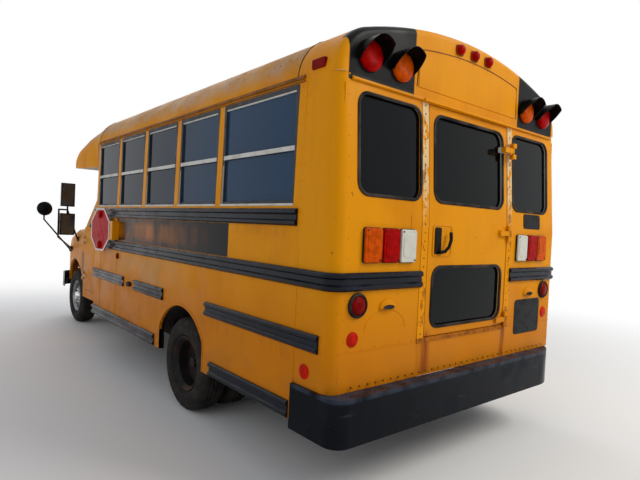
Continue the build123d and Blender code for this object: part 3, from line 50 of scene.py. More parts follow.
# Body sizes that the details follow; distances are ahead of the rear face
REAR_X = -3.310
BELT = 1.560
EAVE = 2.359
HALF = 1.219
TUMBLEHOME = 0.014
REAR_LEAN = 0.050
SKIRT = 0.415
REAR_SKIRT = 0.636
ROOF_TOP = 2.805
CROWN_RADIUS = 3.180
AXLE_REAR = 1.821
AXLE_FRONT = 5.860
AXLE_HEIGHT = 0.372
FLOOR_TOP = 0.760
FRONT_SEAM = 4.135
CAP_SEAM = 0.400

# Side windows: (rear, front) of each
WINDOW_SILL = 1.640
WINDOW_HEAD = 2.339
WINDOW_PITCH = 0.711
WINDOW_SPANS = [(0.379, 1.245)] + [(1.315 + WINDOW_PITCH * k, 1.956 + WINDOW_PITCH * k) for k in range(4)]
SASH = 1.975

# Rear openings: (y low, y high, z low, z high)
REAR_PANES = ((0.532, 1.054, 1.717, 2.270), (-1.054, -0.532, 1.717, 2.270))
DOOR_PANES = ((-0.394, 0.394, 1.719, 2.257), (-0.394, 0.394, 0.932, 1.303))
PANE_CORNER = 0.070
DOOR_GAP_Y = 0.459
DOOR_GAP_TOP = 2.318
REAR_HINGES = (0.914, 1.540, 2.138)

# Lamps: places across the rear, heights and radii
WARNING_HEIGHT = 2.478
WARNING_RED_Y = 0.980
WARNING_AMBER_Y = 0.717
WARNING_RADIUS = 0.085
MARKER_PLACES = (-0.165, 0.0, 0.165)
MARKER_HEIGHT = 2.722
TAIL_HEIGHTS = (1.340, 1.533)
TAIL_PLACES = (0.656, 0.803, 0.950)
TAIL_HALF = 0.067
ROUND_LAMP = (1.038, 1.107)
PLATE_LAMP = (0.800, 1.078)
BLACK_FIELD = (0.598, 1.136, 2.322)
BLACK_PANEL = (1.108, 3.412, 1.290, 1.521)

RIVET = 0.006
SHARP_EDGE = radians(35)
BUS = "bus"


def at(distance):
    """The X of a place this far ahead of the body's rear face."""
    return REAR_X + distance


def lean_share(z):
    return max(0.0, (z - BELT) / (EAVE - BELT))


def side_y(z):
    return HALF - TUMBLEHOME * lean_share(z)


def roof_edge(y):
    """Height of the roof's outer skin at this distance from the middle."""
    return ROOF_TOP - CROWN_RADIUS + sqrt(CROWN_RADIUS ** 2 - y ** 2)


# Charts place a detail at (u, v) on a face of the body, h above it
def side_chart(side, half_width=side_y):
    """Chart of a long side; half_width gives its Y at a height."""
    def chart(u, v, h):
        return Vector((u, side * (half_width(v) + h), v))
    return chart


def upright(x, ahead=1):
    """Chart of an upright face across the bus that looks ahead, or back with -1."""
    def chart(u, v, h):
        return Vector((x + ahead * h, u, v))
    return chart


def rear_chart(u, v, h):
    return Vector((at(REAR_LEAN * lean_share(v)) - h, u, v))


def roof_chart(u, v, h):
    return Vector((u, v, roof_edge(v) + h))


SIDES = {1: side_chart(1), -1: side_chart(-1)}
rear_flat = upright(at(REAR_LEAN), -1)


def turns(count):
    """Equal angles round a whole turn."""
    return [2 * pi * k / count for k in range(count)]


# Materials
# Index of tinted film on the glass, lower than glass so that it mirrors less
THIN_FILM = 1.22
# Share of the full mirror-like sheen that old paint and rubber keep
DULL = 0.08
MATERIALS = {}

# Colours are screen values from 0 to 255
YELLOW = (228, 147, 0)
YELLOW_PALE = (222, 158, 34)
YELLOW_DEEP = (192, 106, 0)
RUST = (112, 52, 22)
RUST_DARK = (70, 36, 20)
GRIME = (92, 74, 52)
TAN = (184, 138, 84)
# Bluish grey of a painted sky reflection on the bumper's top edge
PAINTED_SKY_REFLECTION = (66, 78, 96)
BLACK = (13, 14, 17)
CREAM = (206, 204, 190)


def linear(colour, share=1.0):
    """A screen colour as the shaders want it; a share below 1 darkens it."""
    channels = []
    for value in colour:
        c = value / 255
        channels.append(share * (c / 12.92 if c <= 0.04045 else ((c + 0.055) / 1.055) ** 2.4))
    return (*channels, 1.0)


def plug(tree, value, socket):
    if isinstance(value, bpy.types.NodeSocket):
        tree.links.new(value, socket)
    else:
        socket.default_value = value


def add_node(tree, kind, *values, **settings):
    """A shader node with its settings; values or sockets go into its first inputs."""
    node = tree.nodes.new(f"ShaderNode{kind}")
    for name, setting in settings.items():
        setattr(node, name, setting)
    for value, socket in zip(values, node.inputs):
        plug(tree, value, socket)
    return node


class Finish:
    """A procedural material that is built up a layer at a time and kept in MATERIALS."""

    def __init__(self, name, colour, roughness=0.5, metallic=0.0):
        self.material = bpy.data.materials.new(name)
        MATERIALS[name] = self.material
        self.material.use_nodes = True
        self.tree = self.material.node_tree
        self.shader = self.tree.nodes["Principled BSDF"]
        self.place = self.node("TexCoord").outputs["Object"]
        self.colour = linear(colour)
        self.normal = None
        self.set(Base_Color=self.colour, Roughness=roughness, Metallic=metallic, Specular_IOR_Level=DULL)

    def node(self, kind, *values, **settings):
        return add_node(self.tree, kind, *values, **settings)

    def set(self, **sockets):
        for name, value in sockets.items():
            plug(self.tree, value, self.shader.inputs[name.replace("_", " ")])

    def math(self, operation, first, second=0.0):
        return self.node("Math", first, second, operation=operation).outputs[0]

    def axis(self, index):
        return self.node("SeparateXYZ", self.place).outputs[index]

    def ramp(self, value, low, high, out_low=0.0, out_high=1.0):
        """Value mapped from low..high to out_low..out_high, clamped and smooth."""
        node = self.node("MapRange", value, low, high, out_low, out_high, interpolation_type="SMOOTHSTEP")
        return node.outputs["Result"]

    def noise(self, scale, low=0.3, high=0.7, detail=4.0, stretch=(1, 1, 1), shift=0.0):
        """Cloudy noise from 0 to 1; stretch scales its axes."""
        start = (shift, shift * 0.7, shift * 1.3)
        mapping = self.node("Mapping", self.place, start, (0, 0, 0), stretch)
        cloud = self.node("TexNoise", mapping.outputs[0], 0.0, scale, detail)
        return self.ramp(cloud.outputs[0], low, high)

    def waves(self, direction, scale):
        return self.node("TexWave", self.place, scale, bands_direction=direction).outputs["Fac"]

    def band(self, index, low, high, soft=0.004, mirrored=False):
        """1 where a coordinate, or its size where mirrored, lies between two values."""
        value = self.axis(index)
        if mirrored:
            value = self.math("ABSOLUTE", value)
        rising = self.ramp(value, low - soft, low + soft)
        falling = self.ramp(value, high - soft, high + soft, 1.0, 0.0)
        return self.math("MULTIPLY", rising, falling)

    def both(self, result, *masks):
        for mask in masks:
            result = self.math("MULTIPLY", result, mask)
        return result

    def box(self, *bands):
        """1 where all the bands hold; each is given as band takes it."""
        return self.both(*(self.band(*band) for band in bands))

    def radius(self, first, second):
        """Distance from a centre, of two offsets from it."""
        squares = [self.math("MULTIPLY", offset, offset) for offset in (first, second)]
        return self.math("SQRT", self.math("ADD", *squares))

    def layer(self, mask, colour, amount=1.0, share=1.0):
        """Lays a colour over what is there, by a mask."""
        mask = self.math("MULTIPLY", mask, amount) if amount != 1.0 else mask
        node = self.node("Mix", mask, data_type="RGBA")
        plug(self.tree, self.colour, node.inputs["A"])
        plug(self.tree, linear(colour, share), node.inputs["B"])
        self.colour = node.outputs["Result"]
        self.set(Base_Color=self.colour)

    def blots(self, colour, amount, scale, low, high, within=None, **noise):
        """Lays a colour over in blots of noise, within a mask."""
        mask = self.noise(scale, low, high, **noise)
        self.layer(self.both(within, mask) if within else mask, colour, amount)

    def rough(self, mask, low, high):
        """Roughness from low, where the mask is 0, to high."""
        self.set(Roughness=self.ramp(mask, 0.0, 1.0, low, high))

    def bump(self, height, distance, strength=0.5):
        node = self.node("Bump", strength, distance)
        plug(self.tree, height, node.inputs["Height"])
        if self.normal:
            plug(self.tree, self.normal, node.inputs["Normal"])
        self.normal = node.outputs["Normal"]
        self.set(Normal=self.normal)

    def facing_in(self):
        """1 on faces that look toward the middle of the cabin."""
        away = self.node("VectorMath", self.place, (0.2, 0.0, 1.55), operation="SUBTRACT").outputs[0]
        normal = self.node("NewGeometry").outputs["Normal"]
        dot = self.node("VectorMath", normal, away, operation="DOT_PRODUCT").outputs["Value"]
        inward = self.ramp(dot, -0.02, 0.0, 1.0, 0.0)
        ahead = self.ramp(self.axis(0), at(0.012), at(0.016))
        return self.both(inward, ahead, self.band(1, -0.1, HALF - 0.020, soft=0.002, mirrored=True))


# Thin rust runs on the rear: (y, low, high, half width)
RUST_RUNS = (
    (0.165, 2.60, 2.70, 0.004), (0.0, 2.56, 2.70, 0.005), (-0.165, 2.60, 2.70, 0.004),
    (-0.470, 1.40, 1.52, 0.008), (-0.462, 0.74, 0.90, 0.010), (0.480, 1.10, 1.40, 0.005),
    (-0.80, 1.46, 1.56, 0.006), (0.620, 1.52, 1.62, 0.005), (1.03, 1.16, 1.30, 0.004),
)


def body_paint(name, inner=True):
    """Old yellow paint: fading, streaks, road dirt and rust specks, painted shade low down, and cream on
    inner faces.
    """
    finish = Finish(name, YELLOW, 0.38)
    finish.blots(YELLOW_PALE, 0.12, 0.9, 0.42, 0.75, detail=5.0)
    finish.blots(YELLOW_DEEP, 0.4, 1.6, 0.45, 0.7, detail=3.0, shift=4.0)
    finish.blots(GRIME, 0.05, 2.2, 0.5, 0.72, stretch=(9, 9, 0.5), shift=2.0)
    # Deeper yellow toward the bottom: painted shade on the lower body
    finish.layer(finish.ramp(finish.axis(2), 0.70, 1.40, 1.0, 0.0), YELLOW_DEEP, 0.65)
    low_down = finish.ramp(finish.axis(2), 0.42, 0.95, 1.0, 0.0)
    finish.blots(GRIME, 0.25, 6.0, 0.35, 0.75, low_down, shift=7.0)
    specks = finish.noise(38.0, 0.72, 0.76, detail=2.0, shift=1.0)
    finish.blots(RUST, 0.6, 1.3, 0.5, 0.62, specks, shift=9.0)
    finish.rough(finish.noise(5.0, 0.2, 0.8, shift=3.0), 0.3, 0.5)
    finish.bump(finish.noise(1.4, 0.2, 0.8, detail=2.0, shift=5.0), 0.004, 0.35)
    finish.bump(finish.noise(260.0, 0.2, 0.8, detail=2.0), 0.0002, 0.25)
    if inner:
        finish.layer(finish.facing_in(), CREAM)
    return finish


def side_paint(name):
    """Paint of the long sides, with pale tan patches below the middle rail that are partly faded paint and
    partly painted sheen, and painted shade inside the rear wheel openings.
    """
    finish = body_paint(name)
    # Pale tan patches below the middle rail: partly faded paint, partly painted sheen
    scrub_and_sheen = finish.box((0, at(1.95), at(3.45), 0.25), (2, 0.93, 1.17, 0.05))
    finish.blots(TAN, 0.55, 2.6, 0.35, 0.55, scrub_and_sheen, shift=6.0)
    rails = [finish.band(2, 1.46, 1.53, 0.02), finish.band(2, 0.75, 0.84, 0.03)]
    finish.blots(RUST, 0.12, 16.0, 0.45, 0.6, finish.math("MAXIMUM", *rails), stretch=(1, 1, 0.25), shift=8.0)
    splash = finish.box((0, at(2.30), at(4.30), 0.05), (2, 0.40, 0.52, 0.05))
    finish.blots((86, 66, 44), 0.6, 9.0, 0.35, 0.6, splash, shift=1.7)
    # Painted shade: dark brown on the faces turned in round the rear wheel openings
    x = finish.math("SUBTRACT", finish.axis(0), at(AXLE_REAR))
    z = finish.math("SUBTRACT", finish.axis(2), AXLE_HEIGHT)
    arch = finish.ramp(finish.radius(x, z), 0.474, 0.479, 1.0, 0.0)
    shaded_inside_opening = finish.ramp(finish.math("ABSOLUTE", finish.axis(1)), HALF - 0.012, HALF - 0.006, 1.0, 0.0)
    finish.layer(finish.both(arch, shaded_inside_opening), (24, 20, 16))


def nose_paint(name):
    """Paint of the nose, grey in a patch behind the left front wheel."""
    finish = body_paint(name, inner=False)
    grey_patch = finish.box((0, 2.04, 2.165, 0.012), (2, 0.47, 1.04, 0.03), (1, 0.7, 1.3))
    finish.blots((98, 100, 104), 0.85, 14.0, 0.22, 0.34, grey_patch, shift=9.0)


def rear_paint(name):
    """Paint of the rear, with the black lamp fields and the rust under the door's corners."""
    finish = body_paint(name)
    corners = [finish.band(1, 0.40, 0.52, soft=0.03), finish.band(1, -0.50, -0.42, soft=0.02)]
    below = finish.both(finish.math("MAXIMUM", *corners), finish.band(2, 0.64, 0.90, soft=0.04))
    finish.blots((134, 54, 14), 0.9, 9.0, 0.3, 0.62, below, stretch=(1, 2.2, 0.22), shift=3.5)
    for y, low, high, width in RUST_RUNS:
        run = finish.box((1, y - width, y + width), (2, low, high, 0.03))
        finish.blots(RUST, 0.6, 30.0, 0.3, 0.6, run, stretch=(1, 1, 0.2), shift=y)
    finish.blots(RUST, 0.3, 20.0, 0.5, 0.62, finish.band(2, 0.60, 0.665, soft=0.012), shift=6.5)
    inner, outer, low = BLACK_FIELD
    field = finish.box((1, inner, outer, 0.004, True), (2, low, 2.9), (0, -4.0, at(0.120)))
    finish.layer(field, (7, 8, 10))


def roof_paint(name):
    """Paint of the roof, bleached to tan and specked with rust on top."""
    finish = body_paint(name)
    high = finish.ramp(finish.axis(2), 2.36, 2.52)
    finish.layer(high, TAN, 0.75)
    finish.blots((188, 162, 138), 0.6, 7.0, 0.35, 0.65, high, shift=2.5)
    finish.blots(RUST, 0.7, 30.0, 0.64, 0.70, high, detail=2.0, shift=7.5)
    finish.blots(RUST, 0.12, 3.0, 0.5, 0.68, high, stretch=(4, 0.5, 0.5), shift=4.4)
    finish.layer(finish.facing_in(), CREAM)
    finish.rough(finish.noise(4.0, 0.2, 0.8), 0.5, 0.72)
    return finish


def front_cap_paint(name):
    finish = roof_paint(name)
    field = finish.box((1, 0.46, 1.08, 0.004, True), (2, 2.18, 2.60), (0, at(5.455), 4.0))
    finish.layer(field, BLACK)


def flaking_paint(name):
    """Paint that has come off in flakes down to the pale ground."""
    finish = Finish(name, YELLOW, 0.5)
    flakes = finish.noise(26.0, 0.40, 0.46, stretch=(1, 1, 0.5))
    finish.layer(finish.both(flakes, finish.ramp(finish.axis(2), 1.5, 1.9)), (226, 206, 160), 0.8)
    finish.blots(RUST, 0.6, 18.0, 0.56, 0.62, stretch=(1, 1, 0.6), shift=3.0)
    finish.bump(finish.noise(26.0, 0.5, 0.56, stretch=(1, 1, 0.5)), 0.001, 0.5)


def black_rail(name):
    """Black paint with a painted bluish sheen, scraped toward the front to a bluish grey that is partly wear
    and partly painted highlight.
    """
    finish = Finish(name, (8, 13, 23), 0.24)
    finish.set(Specular_IOR_Level=0.16)
    # Bluish blots over the black: painted sheen
    finish.blots((44, 54, 74), 0.25, 3.0, 0.4, 0.8, stretch=(0.4, 1, 1))
    # Toward the front: bluish grey scrapes, partly wear and partly painted highlight, and yellow chips
    front = finish.ramp(finish.axis(0), at(1.9), at(3.3))
    finish.blots((96, 100, 112), 0.35, 7.0, 0.42, 0.56, front, stretch=(0.35, 1, 4), shift=3.0)
    finish.blots(YELLOW_DEEP, 0.3, 22.0, 0.56, 0.64, front, stretch=(0.5, 1, 2), shift=5.0)
    finish.rough(finish.noise(6.0), 0.16, 0.36)
    finish.bump(finish.noise(40.0), 0.0006, 0.4)


def panel_black(name):
    """Glossy black of the name fields, with painted reflections of the yellow around them toward the front:
    brown, and orange across the middle.
    """
    finish = Finish(name, BLACK, 0.2)
    # Brown toward the front: painted reflection
    front = finish.ramp(finish.axis(0), at(1.25), at(2.6))
    finish.blots((104, 62, 24), 0.75, 5.0, 0.36, 0.6, front, stretch=(1.6, 1.6, 0.3), shift=2.2)
    # Orange band across the middle toward the front: painted reflection
    middle = finish.both(front, finish.band(2, 1.335, 1.475, soft=0.035))
    finish.blots((196, 112, 18), 0.65, 3.0, 0.38, 0.6, middle, stretch=(1.2, 1.2, 0.3), shift=5.1)
    finish.rough(finish.noise(4.0), 0.1, 0.3)


def bumper_black(name):
    """Black paint, with a painted reflection of the sky in bluish grey along the top edge."""
    finish = Finish(name, (6, 11, 19), 0.26)
    # Painted reflection of the sky along the top edge
    top = finish.band(2, 0.612, 0.70, soft=0.008)
    finish.blots(PAINTED_SKY_REFLECTION, 0.5, 12.0, 0.25, 0.6, top, stretch=(1, 1, 0.3))
    dust = finish.noise(4.0, 0.4, 0.75, shift=3.0)
    finish.layer(dust, (40, 44, 50), 0.1)
    finish.blots((70, 66, 62), 0.3, 9.0, 0.68, 0.74, stretch=(1, 0.5, 3), shift=7.0)
    finish.rough(dust, 0.22, 0.5)
    finish.bump(finish.noise(3.0, shift=2.0), 0.004, 0.3)


def plain_metal(name, colour, roughness, metallic=0.0, dust=0.3, dust_colour=GRIME, scale=9.0):
    finish = Finish(name, colour, roughness, metallic)
    finish.blots(dust_colour, dust, scale, 0.4, 0.75)
    smooth, coarse = max(0.05, roughness - 0.12), min(1.0, roughness + 0.15)
    finish.rough(finish.noise(scale * 1.7, shift=2.0), smooth, coarse)
    finish.bump(finish.noise(scale * 14), 0.0004, 0.3)
    return finish


def fittings_black(name):
    """Black lamp hoods; the stop arm's bracket and the rear gutter are painted like the body."""
    finish = plain_metal(name, (6, 7, 9), 0.26, dust=0.08)
    finish.layer(finish.band(0, at(3.0), at(4.0)), YELLOW)
    finish.layer(finish.box((0, at(-0.3), at(0.3)), (1, -0.56, 0.56), (2, 2.29, 2.37)), YELLOW)


def lens(name, colour, cells=95.0, mottle=0.5):
    """Ribbed lamp plastic, with a dark mottle that paints in the light and shade of its facets."""
    finish = Finish(name, colour, 0.16)
    # Dark mottle: painted light and shade of the lens facets
    finish.layer(finish.noise(26.0, 0.42, 0.62), colour, mottle, share=0.4)
    finish.bump(finish.waves("Z", cells), 0.0012, 0.35)
    finish.set(Specular_IOR_Level=0.03)


def dark_glass(name, tint, transmission, sheen):
    finish = Finish(name, tint, 0.02)
    finish.set(Transmission_Weight=transmission, IOR=THIN_FILM, Specular_IOR_Level=sheen)
    finish.rough(finish.noise(3.5, 0.45, 0.9, shift=4.0), 0.01, 0.07)
    finish.bump(finish.noise(1.2, 0.2, 0.8, detail=1.0), 0.002, 0.08)
    return finish


def side_glass(name):
    """Bluish glass, with painted shade that darkens it beside the rear face and toward the front."""
    finish = dark_glass(name, (52, 92, 128), 0.55, 0.25)
    # Painted shade: darker glass beside the rear face and toward the front
    finish.layer(finish.ramp(finish.axis(0), at(0.10), at(0.20), 1.0, 0.0), (14, 20, 24))
    finish.layer(finish.ramp(finish.axis(0), at(1.3), at(2.6)), (20, 26, 30), 0.75)


def vinyl(name):
    finish = Finish(name, (44, 60, 58), 0.45)
    finish.blots((30, 40, 40), 0.5, 8.0, 0.4, 0.8)
    finish.blots((110, 108, 100), 0.25, 30.0, 0.62, 0.68, shift=3.0)
    finish.bump(finish.noise(420.0), 0.0005, 0.5)


def tread_rubber(name):
    finish = Finish(name, (34, 33, 33), 0.78)
    finish.blots((74, 66, 58), 0.45, 12.0, 0.35, 0.75)
    finish.blots((96, 88, 78), 0.25, 60.0, 0.55, 0.75, shift=2.0)
    finish.bump(finish.noise(180.0), 0.0005, 0.4)


def floor_mat(name):
    finish = Finish(name, (46, 45, 44), 0.7)
    finish.bump(finish.waves("Y", 26.0), 0.002, 0.5)
    finish.blots(GRIME, 0.4, 5.0, 0.4, 0.7)


# name, colour, roughness, metallic, dust, its colour and, where it isn't 9, the noise's scale
PLAIN_METALS = (
    ("rusty_paint", (176, 104, 24), 0.6, 0.0, 0.85, RUST, 26.0),
    ("marker_base", (132, 58, 20), 0.6, 0.0, 0.6, RUST_DARK),
    ("dark_rivets", (84, 52, 22), 0.6, 0.0, 0.5, RUST_DARK),
    ("plate_black", BLACK, 0.3, 0.0, 0.1, (48, 46, 44)),
    ("gutter", (150, 98, 50), 0.55, 0.0, 0.6, RUST_DARK),
    ("rubber_seal", (30, 28, 28), 0.62, 0.0, 0.5, (98, 84, 76)),
    ("black_plastic", (10, 11, 13), 0.36, 0.0, 0.1, GRIME),
    ("aluminium", (66, 66, 68), 0.45, 0.2, 0.3, (52, 48, 44)),
    # Jambs grey beside the white trim: partly weathering, partly painted shade
    ("jamb_grey_shaded", (150, 148, 144), 0.5, 0.2, 0.3, (110, 100, 90)),
    ("white_trim", (214, 212, 206), 0.45, 0.0, 0.35, (120, 108, 92)),
    ("chassis_black", (34, 32, 31), 0.7, 0.0, 0.55, (84, 72, 60)),
    ("axle_iron", (48, 44, 40), 0.75, 0.0, 0.6, (96, 70, 48)),
    ("exhaust_rust", (96, 74, 58), 0.7, 0.4, 0.7, RUST),
    ("engine_iron", (74, 74, 74), 0.65, 0.3, 0.5, GRIME),
    ("wheel_silver", (140, 142, 146), 0.42, 0.5, 0.5, (70, 62, 54)),
    ("wheel_dark", (34, 33, 34), 0.5, 0.2, 0.6, (92, 56, 34), 5.0),
    ("bright_metal", (206, 206, 204), 0.22, 0.9, 0.12, GRIME),
    ("sign_red", (178, 22, 30), 0.36, 0.0, 0.2, (150, 80, 70)),
    ("sign_white", (226, 222, 216), 0.4, 0.0, 0.25, GRIME),
    ("mirror_face", (96, 108, 122), 0.12, 0.8, 0.06, GRIME),
    ("latch_black", (24, 22, 22), 0.45, 0.0, 0.3, GRIME),
)
# The finish of each CAD node
CAD_FINISHES = {
    "paint_side": "left_wall right_wall",
    "paint_rear": "rear_wall rear_cap rear_door",
    "paint_yellow": "front_wall cab_shell driver_door entry_leaf_front entry_leaf_rear",
    "paint_yellow_outer": "hood",
    "paint_nose": "nose_panels",
    "paint_roof": "roof",
    "paint_front_cap": "front_cap",
    "glass_side": "body_glass driver_door_glass entry_glass_front entry_glass_rear",
    "glass_rear": "rear_door_glass",
    "rail_black": "rub_rails",
    "bumper_black": "rear_bumper front_bumper",
    "fittings": "fittings",
    "black_plastic": "mirrors grille dashboard steering_wheel",
    "aluminium": "window_frames",
    "lens_red": "lamps",
    "sign_red": "stop_arm",
    "seat_vinyl": "seats",
    "floor_mat": "floor",
    "chassis_black": "chassis_frame fuel_tank",
    "engine_iron": "engine",
    "exhaust_rust": "exhaust",
    "axle_iron": "rear_axle front_suspension knuckle_left knuckle_right",
    "wheel_silver": "front_wheel_left front_wheel_right",
    "wheel_dark": "rear_wheels_left rear_wheels_right",
    "tyre_rubber": "front_tyre_left front_tyre_right rear_tyres_left rear_tyres_right",
}


def finishes():
    body_paint("paint_yellow")
    body_paint("paint_yellow_outer", inner=False)
    side_paint("paint_side")
    nose_paint("paint_nose")
    rear_paint("paint_rear")
    roof_paint("paint_roof")
    front_cap_paint("paint_front_cap")
    flaking_paint("paint_flaking")
    black_rail("rail_black")
    panel_black("panel_black")
    bumper_black("bumper_black")
    fittings_black("fittings")
    for row in PLAIN_METALS:
        plain_metal(*row)
    lens("lens_red", (172, 2, 0))
    lens("lens_dark_red", (132, 8, 6))
    lens("lens_amber", (214, 82, 0))
    lens("lens_clear", (214, 212, 200), mottle=0.12)
    lens("reflector_red", (204, 30, 14), cells=240.0)
    side_glass("glass_side")
    dark_glass("glass_rear", (14, 20, 24), 0.7, 0.14)
    vinyl("seat_vinyl")
    tread_rubber("tyre_rubber")
    floor_mat("floor_mat")


def finish_cad_nodes():
    for finish, nodes in CAD_FINISHES.items():
        for name in nodes.split():
            materials = NODES[name].data.materials
            materials.clear()
            materials.append(MATERIALS[finish])


# Shapes
def rounded(u, v, radius, grow=0.0, steps=6):
    """Points of a rectangle with round corners, grown outward."""
    r = radius + grow
    u0, u1 = u[0] - grow, u[1] + grow
    v0, v1 = v[0] - grow, v[1] + grow
    points = []
    right, top = u1 - r, v1 - r
    left, low = u0 + r, v0 + r
    for cu, cv, start in ((right, top, 0), (left, top, 90), (left, low, 180), (right, low, 270)):
        for k in range(steps + 1):
            angle = radians(start + 90 * k / steps)
            points.append((cu + r * cos(angle), cv + r * sin(angle)))
    return points


def oval(u, v, wide, high, angles):
    """Points of an ellipse round (u, v) at these angles."""
    return [(u + wide * cos(a), v + high * sin(a)) for a in angles]


def circle(u, v, radius, sides=28):
    return oval(u, v, radius, radius, turns(sides))


def half_turn(count):
    return [pi * k / count for k in range(count + 1)]


def row(first, step, count):
    """Places in equal steps."""
    return [first + step * k for k in range(count)]


def hoop(centre, axis, side, radius, sides):
    """A ring of points about an axis, from a direction square to it."""
    other = axis.cross(side)
    return [centre + (side * cos(a) + other * sin(a)) * radius for a in turns(sides)]


def show(name, mesh, material):
    """Puts a finished mesh into the scene."""
    thing = bpy.data.objects.new(name, mesh)
    bpy.context.scene.collection.objects.link(thing)
    mesh.materials.append(MATERIALS[material])
    return thing


class Shape:
    """Points and faces that become one joined piece."""

    def __init__(self):
        self.points = []
        self.faces = []

    def skin(self, rings, closed_ring=True, cap=True):
        """A skin over rings of points of equal number."""
        base = len(self.points)
        count = len(rings[0])
        self.points += [p for ring in rings for p in ring]
        for r in range(len(rings) - 1):
            row = base + r * count
            for k in range(count if closed_ring else count - 1):
                n = (k + 1) % count
                self.faces.append([row + k, row + n, row + count + n, row + count + k])
        if cap:
            for row in (base, base + (len(rings) - 1) * count):
                self.faces.append(list(range(row, row + count)))

    def seal(self, chart, u, v, radius, profile):
        """A ring round a rounded opening; profile is (grow, height) points of its closed section."""
        loops = [[chart(a, b, height) for a, b in rounded(u, v, radius, grow)] for grow, height in profile]
        self.skin([*loops, loops[0]], cap=False)

    def plate(self, chart, outline, low, high, bevel=0.0):
        """A plate from low to high above a face, its edge drawn in by the bevel."""
        rings = [[chart(a, b, height) for a, b in outline] for height in (low, high - bevel)]
        if bevel:
            cu = sum(p[0] for p in outline) / len(outline)
            cv = sum(p[1] for p in outline) / len(outline)
            share = 1 - bevel / max(hypot(a - cu, b - cv) for a, b in outline)
            rings.append([chart(cu + (a - cu) * share, cv + (b - cv) * share, high) for a, b in outline])
        self.skin(rings)

    def bar(self, chart, u, v, low, high):
        self.plate(chart, [(u[0], v[0]), (u[1], v[0]), (u[1], v[1]), (u[0], v[1])], low, high)

    def rivet(self, chart, u, v, radius=RIVET, height=0.003):
        rings = []
        for share, rise in ((1.0, -0.001), (0.85, height * 0.6), (0.4, height)):
            rings.append([chart(a, b, rise) for a, b in circle(u, v, radius * share, 8)])
        self.skin(rings)

    def dome(self, chart, u, v, radius, drum, rise, sides=28, rows=5):
        """A round lens with a short drum and a domed face."""
        rings = [[chart(a, b, 0.0) for a, b in circle(u, v, radius, sides)]]
        for k in range(rows):
            angle = radians(88 * k / (rows - 1))
            edge = circle(u, v, radius * cos(angle), sides)
            rings.append([chart(a, b, drum + rise * sin(angle)) for a, b in edge])
        self.skin(rings)

    def tube(self, points, radius, sides=10):
        """A round bar through points."""
        points = [Vector(p) for p in points]
        rings = []
        side = None
        for i, p in enumerate(points):
            ahead = (points[min(i + 1, len(points) - 1)] - points[max(i - 1, 0)]).normalized()
            side = side or ahead.orthogonal().normalized()
            side = (side - ahead * side.dot(ahead)).normalized()
            rings.append(hoop(p, ahead, side, radius, sides))
        self.skin(rings)

    def turned(self, centre, axis, profile, sides):
        """A turned shape about an axis through centre; profile is (distance along the axis, radius)."""
        centre = Vector(centre)
        axis = Vector(axis)
        side = axis.orthogonal().normalized()
        self.skin([hoop(centre + axis * out, axis, side, max(r, 1e-5), sides) for out, r in profile])

    def piece(self, name, material, body=BUS, slot="body_paint"):
        mesh = bpy.data.meshes.new(name)
        mesh.from_pydata([tuple(p) for p in self.points], [], self.faces)
        bm = bmesh.new()
        bm.from_mesh(mesh)
        bmesh.ops.recalc_face_normals(bm, faces=bm.faces)
        for face in bm.faces:
            face.smooth = True
        for edge in bm.edges:
            if len(edge.link_faces) == 2 and edge.calc_face_angle(0) > SHARP_EDGE:
                edge.smooth = False
        bm.to_mesh(mesh)
        bm.free()
        thing = show(name, mesh, material)
        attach(thing, body)
        return thing


# Windows. Sections of the rubber: (grow, height)
SEAL = ((-0.006, -0.004), (-0.006, 0.005), (0.002, 0.008), (0.011, 0.006), (0.014, 0.0), (0.014, -0.004))
WINDOW_SEAL = ((-0.024, -0.026), (-0.024, -0.012), (-0.016, -0.008), (-0.016, -0.026))
# White strips of head, sill and sash: inset from the sides, heights, low and high above the wall
WINDOW_TRIM = (
    (0.002, (2.302, 2.3385), -0.030, 0.0),
    (0.004, (1.6405, 1.654), -0.030, 0.002),
    (0.020, (SASH - 0.014, SASH + 0.014), -0.012, 0.001),
)


def side_windows():
    seals, trim, jambs = (Shape() for _ in range(3))
    for chart in SIDES.values():
        for span in WINDOW_SPANS:
            rear, front = (at(distance) for distance in span)
            seals.seal(chart, (rear, front), (WINDOW_SILL, WINDOW_HEAD), 0.010, WINDOW_SEAL)
            for inset, rise, low, high in WINDOW_TRIM:
                trim.bar(chart, (rear + inset, front - inset), rise, low, high)
            # Grey jambs: partly weathering, partly painted shade
            jambs.bar(chart, (front - 0.024, front - 0.004), (1.655, 2.300), -0.030, -0.004)
    seals.piece("window_seals", "rubber_seal", slot="rail_black")
    jambs.piece("window_jambs", "jamb_grey_shaded", slot="frame_metal")
    trim.piece("window_trim", "white_trim", slot="frame_metal")


def rear_windows():
    fixed, moving = ("rear_pane_seals", REAR_PANES, BUS), ("rear_door_seals", DOOR_PANES, "rear_door")
    for name, panes, body in (fixed, moving):
        seals = Shape()
        for y0, y1, z0, z1 in panes:
            seals.seal(rear_chart, (y0, y1), (z0, z1), PANE_CORNER, SEAL)
        seals.piece(name, "rubber_seal", body=body, slot="rail_black")


# Rear door: (u, v) spans of the ledge under it and of the lever's rim and plate, and the lever's points
STRIP_WIDTH = 0.060
DOOR_SILL = ((-0.480, 0.520), (0.842, 0.870))
HANDLE_RIM = ((0.222, 0.408), (1.376, 1.570))
HANDLE_PLATE = ((0.330, 0.392), (1.388, 1.556))
LEVER = (
    (0.352, 1.398, 0.012), (0.318, 1.406, 0.030), (0.288, 1.434, 0.036), (0.268, 1.480, 0.036),
    (0.262, 1.528, 0.028),
)


